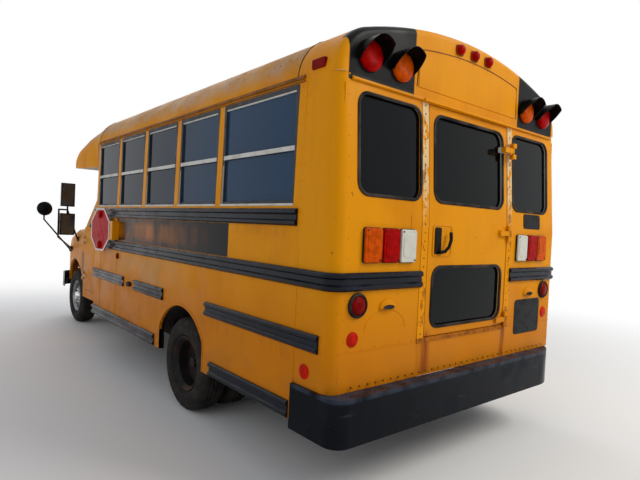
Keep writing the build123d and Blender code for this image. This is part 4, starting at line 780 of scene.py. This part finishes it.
def door_frame_strips():
    """Riveted strips beside the rear door and the ledge under it."""
    strips, rivets, sill, pads = (Shape() for _ in range(4))
    for side in (-1, 1):
        span = sorted((side * DOOR_GAP_Y, side * (DOOR_GAP_Y + STRIP_WIDTH)))
        for rise in ((DOOR_SILL[1][1], BELT), (BELT, DOOR_GAP_TOP)):
            strips.bar(rear_chart, span, rise, 0.0, 0.003)
        for z in row(0.895, 0.052, 28):
            rivets.rivet(rear_chart, side * (DOOR_GAP_Y + STRIP_WIDTH / 2), z, 0.007, 0.006)
    sill.bar(rear_chart, *DOOR_SILL, 0.0, 0.006)
    for y in row(-0.46, 0.05, 20):
        rivets.rivet(rear_chart, y, sum(DOOR_SILL[1]) / 2, height=0.009)
    for z in REAR_HINGES:
        outline = rounded((-0.500, -0.455), (z - 0.040, z + 0.035), 0.015)
        pads.plate(rear_chart, outline, 0.002, 0.010, bevel=0.003)
    strips.piece("rear_door_strips", "paint_flaking")
    rivets.piece("rear_door_rivets", "rusty_paint")
    sill.piece("rear_door_sill", "rusty_paint")
    pads.piece("rear_hinge_pads", "rusty_paint")


def door_handle():
    """The lever of the rear door on its black plate, within a yellow rim."""
    yellow, black = Shape(), Shape()
    rim = rounded(*HANDLE_RIM, 0.02)
    yellow.plate(rear_chart, rim, 0.0, 0.002, bevel=0.001)
    yellow.tube([rear_chart(a, b, 0.002) for a, b in (*rim, rim[0])], 0.005, sides=8)
    yellow.piece("handle_plate", "paint_yellow_outer", body="rear_door")
    black.plate(rear_chart, rounded(*HANDLE_PLATE, 0.012), 0.002, 0.008, bevel=0.003)
    black.tube([rear_chart(*p) for p in LEVER], 0.011)
    black.piece("door_handle", "black_plastic", body="rear_door", slot="black_plastic")


# Body panels. Places along the side: window posts, panel joints; and the heights between the rub rails
POST_LINES = (0.350, 1.280, 1.991, 2.702, 3.413, 4.090)
PANEL_LINES = (3.392, 3.923)
LOWER_BANDS = ((0.525, 0.838), (0.955, 1.183))
# Rivet columns of the rear corner: (distance, lowest place)
CORNER_COLUMNS = ((0.294, REAR_SKIRT), (0.326, SKIRT))
CORNER_Y = 1.128
# Heights of the two rivet rows across the rear
LOW_ROW = 0.659
SEAM_ROW = 0.866
LAP_THICK = 0.0022
# The edge of a rear wheel opening: radius, half width, and its section as (share of the radius, height)
ARCH_RADIUS = 0.472
ARCH_HALF = 0.400
ARCH_SECTION = ((1.0, -0.02), (1.0, 0.004), (1.03, 0.004), (1.03, 0.0))
LATCH = (at(2.973), 0.884)


def rear_rivets():
    """Rivets of the rear face and of the sides."""
    low_row, rivets = Shape(), Shape()
    for y in row(-1.056, 0.064, 34):
        low_row.rivet(rear_chart, y, LOW_ROW, radius=0.0065, height=0.004)
    low_row.piece("low_rear_rivets", "dark_rivets")
    for y in (-CORNER_Y, CORNER_Y):
        for z in row(0.70, 0.11, 16):
            rivets.rivet(rear_chart, y, z)
    for side in (-1, 1):
        for y in row(0.57, 0.105, 6):
            rivets.rivet(rear_chart, side * y, SEAM_ROW)
    for chart in SIDES.values():
        for x, bottom in CORNER_COLUMNS:
            for z in row(0.45, 0.095, 20):
                if z > bottom + 0.02 and not 0.83 < z < 0.96 and not 1.17 < z < 1.30:
                    rivets.rivet(chart, at(x), z)
        for x in POST_LINES:
            for z in row(1.66, 0.11, 7):
                rivets.rivet(chart, at(x), z)
        for x in PANEL_LINES:
            for low, high in LOWER_BANDS:
                for k in range(3):
                    rivets.rivet(chart, at(x + 0.018), low + (high - low) * (0.2 + 0.3 * k))
    rivets.piece("body_rivets", "paint_yellow_outer")


def seams():
    """Lapped joints between the body panels."""
    laps = Shape()
    for chart in SIDES.values():
        for x in (0.310, *PANEL_LINES):
            for low, high in LOWER_BANDS:
                low = max(low, REAR_SKIRT) if x < 0.4 else low
                laps.bar(chart, (at(x) - 0.002, at(x) + 0.012), (low, high), 0.0, LAP_THICK)
        for x, top in ((0.308, 2.340), (3.500, 1.521)):
            laps.bar(chart, (at(x), at(x + 0.012)), (1.290, top), 0.0, LAP_THICK)
    for side in (-1, 1):
        laps.bar(rear_chart, sorted((side * 0.53, side * 1.16)), (0.849, 0.856), 0.0, 0.0025)
        laps.bar(rear_chart, sorted((side * 1.148, side * 1.156)), (0.70, 2.30), 0.0, 0.0015)
    laps.piece("panel_laps", "paint_yellow_outer")


def black_side_panels():
    """The glossy black name fields between the upper and middle rub rails, left blank."""
    panels = Shape()
    rear, front, low, high = BLACK_PANEL
    for chart in SIDES.values():
        panels.bar(chart, (at(rear), at(front)), (low, high), 0.0, 0.0015)
    panels.piece("black_side_panels", "panel_black", slot="rail_black")


def arch_lips():
    """Rolled edges of the rear wheel openings."""
    lips = Shape()
    start = asin((SKIRT - AXLE_HEIGHT) / ARCH_RADIUS)
    for chart in SIDES.values():
        rings = []
        for k in range(25):
            angle = start + (pi - 2 * start) * k / 24
            u = max(-ARCH_HALF, min(ARCH_HALF, ARCH_RADIUS * cos(angle)))
            v = ARCH_RADIUS * sin(angle)
            rings.append([chart(at(AXLE_REAR) + u * s, AXLE_HEIGHT + v * s, h) for s, h in ARCH_SECTION])
        lips.skin(rings)
    lips.piece("rear_arch_lips", "paint_yellow_outer")


def latches():
    """The oval latch low on each side."""
    shape = Shape()
    for chart in SIDES.values():
        shape.plate(chart, oval(*LATCH, 0.045, 0.024, turns(24)), 0.0, 0.030, bevel=0.004)
    shape.piece("side_latches", "latch_black", slot="black_plastic")


# Roof. Sections: of the rails above the windows, (out, height), and of a lap, (ahead, up)
DRIP_SECTIONS = (
    ((0.0, 2.364), (0.010, 2.358), (0.016, 2.361), (0.016, 2.374), (0.009, 2.376), (0.0, 2.385)),
    ((0.0, 2.343), (0.007, 2.343), (0.007, 2.349), (0.0, 2.349)),
)
LAP_SECTION = ((-0.002, -0.003), (-0.002, 0.002), (0.014, 0.002), (0.014, -0.003))
LAP_TOP = 2.803
ROOF_JOINTS = (0.410, 1.280, 1.991, 2.702, 3.413)
JOINT_HALF = 0.95
BEAD = 0.0045


def drip_rails():
    """The gutter above the side windows."""
    rails = Shape()
    for section in DRIP_SECTIONS:
        for side in (-1, 1):
            rings = []
            for x in (at(0.330), at(FRONT_SEAM)):
                rings.append([Vector((x, side * (side_y(EAVE) - 0.001 + out), z)) for out, z in section])
            rails.skin(rings)
    rails.piece("drip_rails", "gutter", slot="roof_paint")


def roof_lines():
    """Riveted joints that cross the roof."""
    laps, dots = Shape(), Shape()
    for x in ROOF_JOINTS:
        for first in (-1, 0):
            ys = [(first + k / 12) * JOINT_HALF for k in range(13)]
            points = [Vector((at(x), y, min(roof_edge(y), LAP_TOP))) for y in ys]
            laps.skin([[p + Vector((ahead, 0, up)) for ahead, up in LAP_SECTION] for p in points])
        for y in row(-JOINT_HALF, 0.05, 39):
            if abs(y) > 0.12:
                dots.rivet(roof_chart, at(x) - 0.012, y)
    laps.piece("roof_laps", "paint_roof", slot="roof_paint")
    dots.piece("roof_rivets", "rusty_paint", slot="roof_paint")


def cast(node, start, direction):
    """Where a ray first meets a CAD node, or None."""
    hit, place, _normal, _face = NODES[node].ray_cast(Vector(start), Vector(direction))
    return place if hit else None


def cap_seams():
    """Dark sealing beads where the roof meets its two caps, laid on the roof's skin."""
    beads = Shape()
    for x in (at(CAP_SEAM) + 0.004, at(FRONT_SEAM) - 0.004):
        points = []
        for k in range(57):
            angle = radians(22 + 136 * k / 56)
            out = Vector((0, cos(angle), sin(angle)))
            place = cast("roof", Vector((x, 0, 1.9)) + 3 * out, -out)
            if place:
                points.append(Vector((x, place.y, min(place.z, ROOF_TOP - BEAD))))
        beads.tube(points, BEAD, sides=8)
    beads.piece("cap_seams", "rubber_seal", slot="rail_black")


# Rear face: sign field, lamps, plates
SIGN_HALF = 0.560
SIGN_LOW = 2.400
FIELD_DROP = 0.150
GROOVE_DROP = 0.130
GUTTER_HALF = 1.11
GUTTER_SECTION = ((0.0, 2.322), (0.014, 2.323), (0.018, 2.328), (0.017, 2.336), (0.006, 2.340), (0.0, 2.346))
# Section of the rubber round the round lamps, (grow, height)
LAMP_RING = ((0.0, 0.0), (0.0, 0.016), (0.006, 0.02), (0.014, 0.012), (0.015, 0.0))
# Steps of the cover over the plate lamp, (grow, height)
COVER_STEPS = ((0.070, 0.0), (0.062, 0.012), (0.046, 0.018), (0.020, 0.019))
# The black plates: spans across and up, and the corners' radius
BLACK_PLATES = (((-0.945, -0.690), (1.583, 1.696), 0.02), ((-0.994, -0.617), (0.779, 1.043), 0.03))
ROUND_RADIUS = 0.055
# Reflectors and the lamps on the sides: place, then radius, drum and rise
REFLECTOR = (0.042, 0.004, 0.005)
REFLECTOR_REAR = (1.064, 0.923)
REFLECTOR_SIDE = (at(0.208), 0.720)
SIDE_LAMP = (at(3.352), 1.130, 0.030, 0.010, 0.012)
CAP_LAMP = ((at(0.160), at(0.276)), (2.393, 2.449), 0.010)
CAP_LAMP_Y = 1.2045
# Distances of the front cap's face and the nose, and the height of the lamps up there
CAP_FACE = 5.520
NOSE_FACE = 6.650
FRONT_WARNING = 2.330
FRONT_MARKER = 2.440


def across(half, count):
    """Places from half to -half in equal steps."""
    return [half - 2 * half * k / count for k in range(count + 1)]


def sign_field():
    """A raised blank field between the warning lamps with a groove round it, drawn as a dark rust-brown bead
    of painted shade, and the gutter below with a strip of painted shadow under it.
    """
    field, groove, gutter, under = (Shape() for _ in range(4))
    outline = [(-SIGN_HALF, SIGN_LOW), (SIGN_HALF, SIGN_LOW)]
    outline += [(y, roof_edge(y) - FIELD_DROP) for y in across(SIGN_HALF, 8)]
    field.plate(rear_flat, outline, 0.0, 0.004, bevel=0.003)
    field.piece("sign_field", "paint_yellow_outer")
    top = [(y, roof_edge(y) - GROOVE_DROP) for y in across(SIGN_HALF, 12)]
    foot = SIGN_HALF + 0.014
    loop = [(foot, SIGN_LOW), *top, (-foot, SIGN_LOW)]
    # The groove's dark bead: painted shade
    groove.tube([rear_flat(u, v, 0.001) for u, v in loop], 0.0035, sides=6)
    groove.piece("sign_groove", "gutter")
    gutter.skin([[rear_flat(y, z, out) for out, z in GUTTER_SECTION] for y in (-GUTTER_HALF, GUTTER_HALF)])
    gutter.bar(rear_flat, (-DOOR_GAP_Y, DOOR_GAP_Y), (2.3175, 2.330), 0.0, 0.008)
    gutter.piece("rear_gutter", "paint_yellow_outer")
    under.bar(rear_flat, (-GUTTER_HALF, GUTTER_HALF), (2.3165, 2.322), 0.0, 0.002)
    under.piece("rear_gutter_shadow", "gutter")


def tail_lamp(shape, rings, y):
    """A ribbed lens with its raised middle, the dark rim round it and two screws."""
    u = (y - TAIL_HALF, y + TAIL_HALF)
    low, high = TAIL_HEIGHTS
    shape.plate(rear_chart, rounded(u, TAIL_HEIGHTS, 0.014), 0.004, 0.024, bevel=0.005)
    middle = rounded((u[0] + 0.016, u[1] - 0.016), (low + 0.026, high - 0.026), 0.030)
    shape.plate(rear_chart, middle, 0.020, 0.027, bevel=0.003)
    rings.plate(rear_chart, rounded(u, TAIL_HEIGHTS, 0.014, 0.0035), 0.0, 0.012, bevel=0.003)
    for place in ((u[0] + 0.014, low + 0.014), (u[1] - 0.014, high - 0.014)):
        rings.plate(rear_chart, circle(*place, 0.005, 10), 0.024, 0.028)


def lamps():
    """Lenses that stand in for the plain lamps, and their rims."""
    red, dark, amber, clear, reflector, rings, bases, head = (Shape() for _ in range(8))
    drum = (0.016, 0.022)
    y, z = ROUND_LAMP
    for side, chart in sorted(SIDES.items()):
        red.dome(rear_flat, side * WARNING_RED_Y, WARNING_HEIGHT, WARNING_RADIUS, *drum)
        amber.dome(rear_flat, side * WARNING_AMBER_Y, WARNING_HEIGHT, WARNING_RADIUS, *drum)
        for place, shape in zip(TAIL_PLACES, (clear, red, amber)):
            tail_lamp(shape, rings, side * place)
        dark.dome(rear_chart, side * y, z, ROUND_RADIUS - 0.001, 0.010, 0.016)
        span, rise = ((c - ROUND_RADIUS, c + ROUND_RADIUS) for c in (side * y, z))
        rings.seal(rear_chart, span, rise, ROUND_RADIUS, LAMP_RING)
        reflector.dome(rear_chart, side * REFLECTOR_REAR[0], REFLECTOR_REAR[1], *REFLECTOR)
        reflector.dome(chart, *REFLECTOR_SIDE, *REFLECTOR)
        dark.dome(chart, *SIDE_LAMP, sides=18)
        dark.plate(side_chart(side, lambda z: CAP_LAMP_Y), rounded(*CAP_LAMP), -0.010, 0.008, bevel=0.005)
    for place in MARKER_PLACES:
        red.dome(rear_flat, place, MARKER_HEIGHT, 0.033, *drum, sides=20)
        outline = rounded((place - 0.042, place + 0.042), (2.686, 2.752), 0.02)
        bases.plate(rear_flat, outline, 0.0, 0.008, bevel=0.003)
    bases.piece("marker_bases", "marker_base")
    front, nose = upright(at(CAP_FACE)), upright(at(NOSE_FACE))
    for side in (-1, 1):
        for place, shape in ((WARNING_RED_Y, red), (WARNING_AMBER_Y, amber)):
            shape.dome(front, side * place * 0.93, FRONT_WARNING, WARNING_RADIUS, *drum)
        span = sorted((side * 0.458, side * 0.757))
        head.plate(nose, rounded(span, (0.704, 0.916), 0.02), -0.040, 0.005, bevel=0.01)
    for place in MARKER_PLACES:
        amber.dome(front, place, FRONT_MARKER, 0.029, 0.012, 0.014, sides=20)
    lenses = (
        (red, "red_lenses", "lens_red"), (amber, "amber_lenses", "lens_amber"),
        (dark, "dark_lenses", "lens_dark_red"), (clear, "clear_lenses", "lens_clear"),
        (reflector, "reflectors", "reflector_red"), (head, "headlamps", "lens_clear"),
    )
    for shape, name, material in lenses:
        piece = shape.piece(name, material, slot="lens")
        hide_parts("lamps")
    rings.piece("lamp_rings", "rubber_seal", slot="black_plastic")


def rear_plates():
    """Blank black plates on the right, two small arched lamp covers and the stampings under them."""
    plates, covers, mouths, stamp = (Shape() for _ in range(4))
    for place in BLACK_PLATES:
        plates.plate(rear_chart, rounded(*place), 0.0, 0.003, bevel=0.002)
    plates.piece("black_plates", "plate_black", slot="rail_black")
    y, z = PLATE_LAMP
    for side in (-1, 1):
        rings = []
        for grow, height in COVER_STEPS:
            arc = oval(side * y, z, grow, grow * 0.8, half_turn(12))
            rings.append([rear_chart(u, v, height) for u, v in arc])
        covers.skin(rings, closed_ring=False, cap=False)
        mouths.plate(rear_chart, oval(side * y, z + 0.008, 0.046, 0.013, turns(16)), 0.010, 0.021)
        stamped = oval(side * (y + 0.005), 0.955, 0.170, 0.115, half_turn(16))
        stamp.tube([rear_chart(u, v, 0.0) for u, v in stamped], 0.0028, sides=6)
    covers.piece("plate_lamp_covers", "paint_yellow_outer")
    mouths.piece("plate_lamp_mouths", "rubber_seal", slot="black_plastic")
    stamp.piece("plate_stamping", "paint_yellow_outer")


# Stop arm
STOP_HINGE = (at(3.462), HALF + 0.048)
STOP_CENTRE = 0.2515
STOP_HEIGHT = 1.390
STOP_TILT = radians(6.5)
STOP_BORDER = (0.455, 0.415)


def stop_chart(sign):
    """Face of the swung-out sign, outward or inward."""
    along = Vector((cos(STOP_TILT), sin(STOP_TILT), 0))
    out = Vector((-sin(STOP_TILT), cos(STOP_TILT), 0)) * sign
    foot = Vector((*STOP_HINGE, STOP_HEIGHT))

    def chart(u, v, h):
        return foot + along * (STOP_CENTRE + u) + out * (0.005 + h) + Vector((0, 0, v))
    return chart


def octagon(across_flats):
    half_side = pi / 8
    r = across_flats / 2 / cos(half_side)
    return oval(0, 0, r, r, [half_side + a for a in turns(8)])


def stop_sign():
    """The blank sign's white border and its lamps, on both faces."""
    border, bulbs = Shape(), Shape()
    outer, inner = (octagon(size) for size in STOP_BORDER)
    for sign in (1, -1):
        chart = stop_chart(sign)
        section = ((outer, 0.0), (outer, 0.0015), (inner, 0.0015), (inner, 0.0))
        border.skin([[chart(a, b, height) for a, b in loop] for loop, height in section], cap=False)
        for z in (-0.165, 0.165):
            bulbs.dome(chart, 0.0, z, 0.041, 0.014, 0.012)
    border.piece("stop_sign_border", "sign_white", body="stop_arm", slot="sign_red")
    bulbs.piece("stop_sign_lamps", "lens_red", body="stop_arm", slot="lens")


# Front. Mirrors: (low, high, half width, place of the face behind the mirrors' distance)
MIRROR_DISTANCE = 5.500
MIRROR_Y = 1.208
MIRRORS = ((1.656, 1.948, 0.075, 0.020), (1.274, 1.536, 0.078, 0.035))
# Wipers: Y of foot and tip, and the height of the feet
WIPERS = ((0.60, 0.08), (-0.06, -0.60))
WIPER_LOW = 1.425


def mirror_faces():
    """Glass on the backs of the left and right mirrors."""
    faces = Shape()
    for side in (-1, 1):
        y = side * MIRROR_Y
        for low, high, half, back in MIRRORS:
            chart = upright(at(MIRROR_DISTANCE) - back, -1)
            faces.plate(chart, rounded((y - half, y + half), (low, high), 0.015), -0.002, 0.002)
    faces.piece("mirror_faces", "mirror_face", slot="black_plastic")


def wipers():
    """Two wipers that rest on the foot of the windscreen."""
    arms = Shape()
    for foot, tip in WIPERS:
        points = []
        for k in range(7):
            start = (4.0, foot + (tip - foot) * k / 6, WIPER_LOW + 0.016 * k)
            points.append(cast("body_glass", start, (-1.0, 0.0, 0.0)) + Vector((0.012, 0.0, 0.006)))
        arms.tube(points, 0.007, sides=8)
    arms.piece("wipers", "black_plastic", slot="black_plastic")


# Wheels
TYRE_HALF = 0.1125
TYRE_RADIUS = 0.372
TYRE_SIDES = 96
GROOVES = (-0.050, -0.017, 0.017, 0.050)
# A tyre's outer side, from the bead: (along the axle, radius)
SIDEWALL = [
    (-0.076, 0.2155), (-TYRE_HALF + 0.008, 0.240), (-TYRE_HALF, 0.290), (-TYRE_HALF + 0.004, 0.325),
    (-TYRE_HALF + 0.018, 0.352), (-TYRE_HALF + 0.034, 0.366),
]
# Turned profiles of the hub's cap and a nut: (out, radius)
CAP_PROFILE = ((0.0, 0.070), (0.030, 0.066), (0.052, 0.052), (0.058, 0.030), (0.060, 0.0))
NUT_PROFILE = ((0.0, 0.015), (0.016, 0.014), (0.022, 0.009), (0.024, 0.0))
NUTS = 8
NUT_CIRCLE = 0.096
# Outer faces of the front and rear wheels, and the step inward to the second of twin tyres
FRONT_FACE = 0.985
REAR_FACE = 1.182
TWIN_STEP = 0.268


def tyre_profile():
    profile = list(SIDEWALL)
    for g in GROOVES:
        edge = TYRE_RADIUS - abs(g) * 0.03
        foot = TYRE_RADIUS - 0.011
        profile += [(g - 0.006, edge), (g - 0.003, foot), (g + 0.003, foot), (g + 0.006, edge)]
    return profile + [(-along, radius) for along, radius in reversed(SIDEWALL)]


def tyre_mesh(shape, centre_y, x):
    """A tyre with ribs, grooves and cross cuts."""
    rings = []
    for k, angle in enumerate(turns(TYRE_SIDES)):
        cut = 0.004 if k % 3 == 0 else 0.0
        ahead, up = cos(angle), sin(angle)
        ring = []
        for along, radius in tyre_profile():
            r = radius - (cut if 0.345 < radius and abs(along) > 0.056 else 0.0)
            ring.append(Vector((x + r * ahead, centre_y + along, AXLE_HEIGHT + r * up)))
        rings.append(ring)
    shape.skin([*rings, rings[0]], cap=False)


def hub(shape, x, face_y, side, dish):
    """Hub cap and wheel nuts on a wheel's face."""
    shape.turned((x, face_y, AXLE_HEIGHT), (0, side, 0), CAP_PROFILE, 28)
    for k in range(NUTS):
        angle = 2 * pi * (k + 0.5) / NUTS
        u, v = NUT_CIRCLE * cos(angle), NUT_CIRCLE * sin(angle)
        shape.turned((x + u, face_y + side * dish, AXLE_HEIGHT + v), (0, side, 0), NUT_PROFILE, 6)


def wheels():
    for side, name in ((1, "left"), (-1, "right")):
        tread, treads, cap, rear_cap = (Shape() for _ in range(4))
        centre = side * (FRONT_FACE - TYRE_HALF)
        body = f"front_wheel_{name}"
        tyre_mesh(tread, centre, at(AXLE_FRONT))
        piece = tread.piece(f"front_tread_{name}", "tyre_rubber", body=body, slot="tyre_rubber")
        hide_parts(f"front_tyre_{name}")
        hub(cap, at(AXLE_FRONT), centre + side * 0.050, side, 0.006)
        cap.piece(f"front_hub_{name}", "bright_metal", body=body, slot="wheel_steel")
        outer = side * (REAR_FACE - TYRE_HALF)
        body = f"rear_wheels_{name}"
        for y in (outer, outer - side * TWIN_STEP):
            tyre_mesh(treads, y, at(AXLE_REAR))
        piece = treads.piece(f"rear_treads_{name}", "tyre_rubber", body=body, slot="tyre_rubber")
        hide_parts(f"rear_tyres_{name}")
        hub(rear_cap, at(AXLE_REAR), outer - side * 0.058, side, 0.012)
        rear_cap.piece(f"rear_hub_{name}", "wheel_dark", body=body, slot="wheel_steel")


# Inside. Pads: (name, ahead, height, size, tilt in degrees, crown)
SEAT_ROWS = 5
BENCH_Y = 0.676
BENCH_PADS = (
    ("bench_cushion", 0.245, 1.140, (0.345, 0.985, 0.092), 0.0, 0.004),
    ("bench_back", 0.015, 1.430, (0.062, 0.975, 0.665), -3.4, 0.0),
)
DRIVER_X = at(4.500)
DRIVER_Y = 0.430
DRIVER_PADS = (
    ("driver_cushion", 0.24, 1.005, (0.475, 0.495, 0.106), 0.0, 0.003),
    ("driver_back", -0.045, 1.385, (0.085, 0.475, 0.64), -8.0, 0.0),
)
LEG_Y = 0.240
LEGS_AHEAD = (0.05, 0.37)
LEG_TOP = 1.090


def pad(name, centre, size, tilt, crown, body=BUS):
    """An upholstered pad: a crowned soft block with sewn lines."""
    half = Vector(size) / 2
    radius = min(half) * 0.7
    bm = bmesh.new()
    bmesh.ops.create_cube(bm, size=2.0)
    bmesh.ops.subdivide_edges(bm, edges=bm.edges, cuts=11, use_grid_fill=True)
    for vert in bm.verts:
        u, v, w = vert.co
        p = Vector((u * half.x, v * half.y, w * half.z))
        inner = Vector([max(-(h - radius), min(h - radius, c)) for c, h in zip(p, half)])
        away = p - inner
        if away.length > 1e-6:
            p = inner + away.normalized() * radius
        bulge = (1 - u ** 2) * (1 - v ** 2)
        p.z += copysign(crown * bulge, p.z) if abs(w) > 0.3 else 0.0
        seam = exp(-((abs(v) - 0.34) / 0.05) ** 2)
        p.z -= copysign(0.004 * seam, p.z) if abs(w) > 0.8 else 0.0
        p.x -= copysign(0.002 * seam, p.x) if abs(u) > 0.95 else 0.0
        vert.co = p
    for face in bm.faces:
        face.smooth = True
    mesh = bpy.data.meshes.new(name)
    bm.to_mesh(mesh)
    bm.free()
    mesh.transform(Matrix.Translation(centre) @ Matrix.Rotation(radians(tilt), 4, "Y"))
    thing = show(name, mesh, "seat_vinyl")
    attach(thing, body)
    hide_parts("seats")


def seats():
    frames = Shape()
    for row in range(SEAT_ROWS):
        rear = at(0.560 + WINDOW_PITCH * row)
        for side, tag in ((-1, "right"), (1, "left")):
            for name, ahead, z, size, tilt, crown in BENCH_PADS:
                pad(f"{name}_{tag}_{row + 1}", (rear + ahead, side * BENCH_Y, z), size, tilt, crown)
            y = side * LEG_Y
            legs = [rear + ahead for ahead in LEGS_AHEAD]
            for x in legs:
                frames.tube([(x, y, FLOOR_TOP), (x, y, LEG_TOP)], 0.013)
            for z in (0.80, 1.080):
                frames.tube([(x, y, z) for x in legs], 0.011)
    for name, ahead, z, size, tilt, crown in DRIVER_PADS:
        pad(name, (DRIVER_X + ahead, DRIVER_Y, z), size, tilt, crown)
    span = (DRIVER_X + 0.062, DRIVER_X + 0.418)
    breadth = (DRIVER_Y - 0.158, DRIVER_Y + 0.158)
    frames.bar(lambda u, v, h: Vector((u, v, h)), span, breadth, FLOOR_TOP, 0.948)
    piece = frames.piece("seat_frames", "black_plastic", slot="black_plastic")
    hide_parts("seats")


# Studio
SKY = 0.42
# name, place, what it points at, size, power, colour
LAMPS = (
    ("key", (-9.0, -4.5, 8.0), (-2.0, 0.0, 1.2), 5.0, 620.0, (1.0, 0.96, 0.88)),
    ("fill", (-3.0, 10.0, 5.5), (0.0, 0.0, 1.2), 8.0, 150.0, (0.94, 0.97, 1.0)),
    ("front", (9.0, -2.0, 6.0), (1.5, 0.0, 1.2), 6.0, 330.0, (1.0, 1.0, 1.0)),
)


def seen(tree):
    """1 on rays that see the background: from the camera, in a reflection or through glass."""
    rays = add_node(tree, "LightPath").outputs
    result = rays["Is Camera Ray"]
    for name in ("Is Glossy Ray", "Is Transmission Ray"):
        result = add_node(tree, "Math", result, rays[name], operation="MAXIMUM").outputs[0]
    return result


def mix_shaders(tree, share, first, second, output):
    """Shows the second shader by a share and the first for the rest."""
    mix = add_node(tree, "MixShader", share, first, second)
    tree.links.new(mix.outputs[0], tree.nodes[output].inputs["Surface"])


def studio_floor():
    """A pale floor that turns into the white background away from the bus."""
    bpy.ops.mesh.primitive_plane_add(size=120, location=(0, 0, 0))
    floor = bpy.context.object
    floor.name = "studio_floor"
    finish = Finish("studio_floor", (242, 241, 240), 0.9)
    finish.blots((238, 237, 236), 0.5, 0.3, 0.3, 0.7)
    distance = finish.radius(finish.axis(0), finish.axis(1))
    far = finish.both(finish.ramp(distance, 3.4, 8.5), seen(finish.tree))
    white = finish.node("Emission")
    mix_shaders(finish.tree, far, finish.shader.outputs[0], white.outputs[0], "Material Output")
    floor.data.materials.append(finish.material)


def stage():
    """Floor, sky, white background and lamps."""
    studio_floor()
    world = bpy.data.worlds.new("studio")
    bpy.context.scene.world = world
    world.use_nodes = True
    tree = world.node_tree
    sky = tree.nodes["Background"]
    sky.inputs["Color"].default_value = (0.90, 0.94, 1.0, 1.0)
    sky.inputs["Strength"].default_value = SKY
    white = add_node(tree, "Background", (1.0, 1.0, 1.0, 1.0))
    mix_shaders(tree, seen(tree), sky.outputs[0], white.outputs[0], "World Output")
    for name, place, target, size, energy, colour in LAMPS:
        data = bpy.data.lights.new(name, "AREA")
        data.size = size
        data.energy = energy
        data.color = colour
        light = bpy.data.objects.new(name, data)
        light.location = place
        light.rotation_euler = (Vector(target) - Vector(place)).to_track_quat("-Z", "Y").to_euler()
        bpy.context.scene.collection.objects.link(light)


def camera():
    yaw, pitch, roll = (radians(a) for a in (CAMERA_YAW, CAMERA_PITCH, CAMERA_ROLL))
    forward = Vector((cos(pitch) * cos(yaw), cos(pitch) * sin(yaw), sin(pitch)))
    right = Vector((sin(yaw), -cos(yaw), 0))
    up = right.cross(forward)
    side = right * cos(roll) + up * sin(roll)
    top = up * cos(roll) - right * sin(roll)
    data = bpy.data.cameras.new("camera")
    data.sensor_width = SENSOR
    data.sensor_fit = "HORIZONTAL"
    data.lens = FOCAL_PIXELS / PHOTO_WIDTH * SENSOR
    thing = bpy.data.objects.new("camera", data)
    thing.matrix_world = Matrix.Translation(CAMERA_AT) @ Matrix((side, top, -forward)).transposed().to_4x4()
    bpy.context.scene.collection.objects.link(thing)
    bpy.context.scene.camera = thing


camera()
stage()
finishes()
finish_cad_nodes()
side_windows()
rear_windows()
door_frame_strips()
rear_rivets()
seams()
drip_rails()
roof_lines()
cap_seams()
black_side_panels()
sign_field()
lamps()
rear_plates()
door_handle()
stop_sign()
mirror_faces()
wipers()
latches()
wheels()
arch_lips()
seats()
bpy.context.scene.view_settings.view_transform = "Standard"
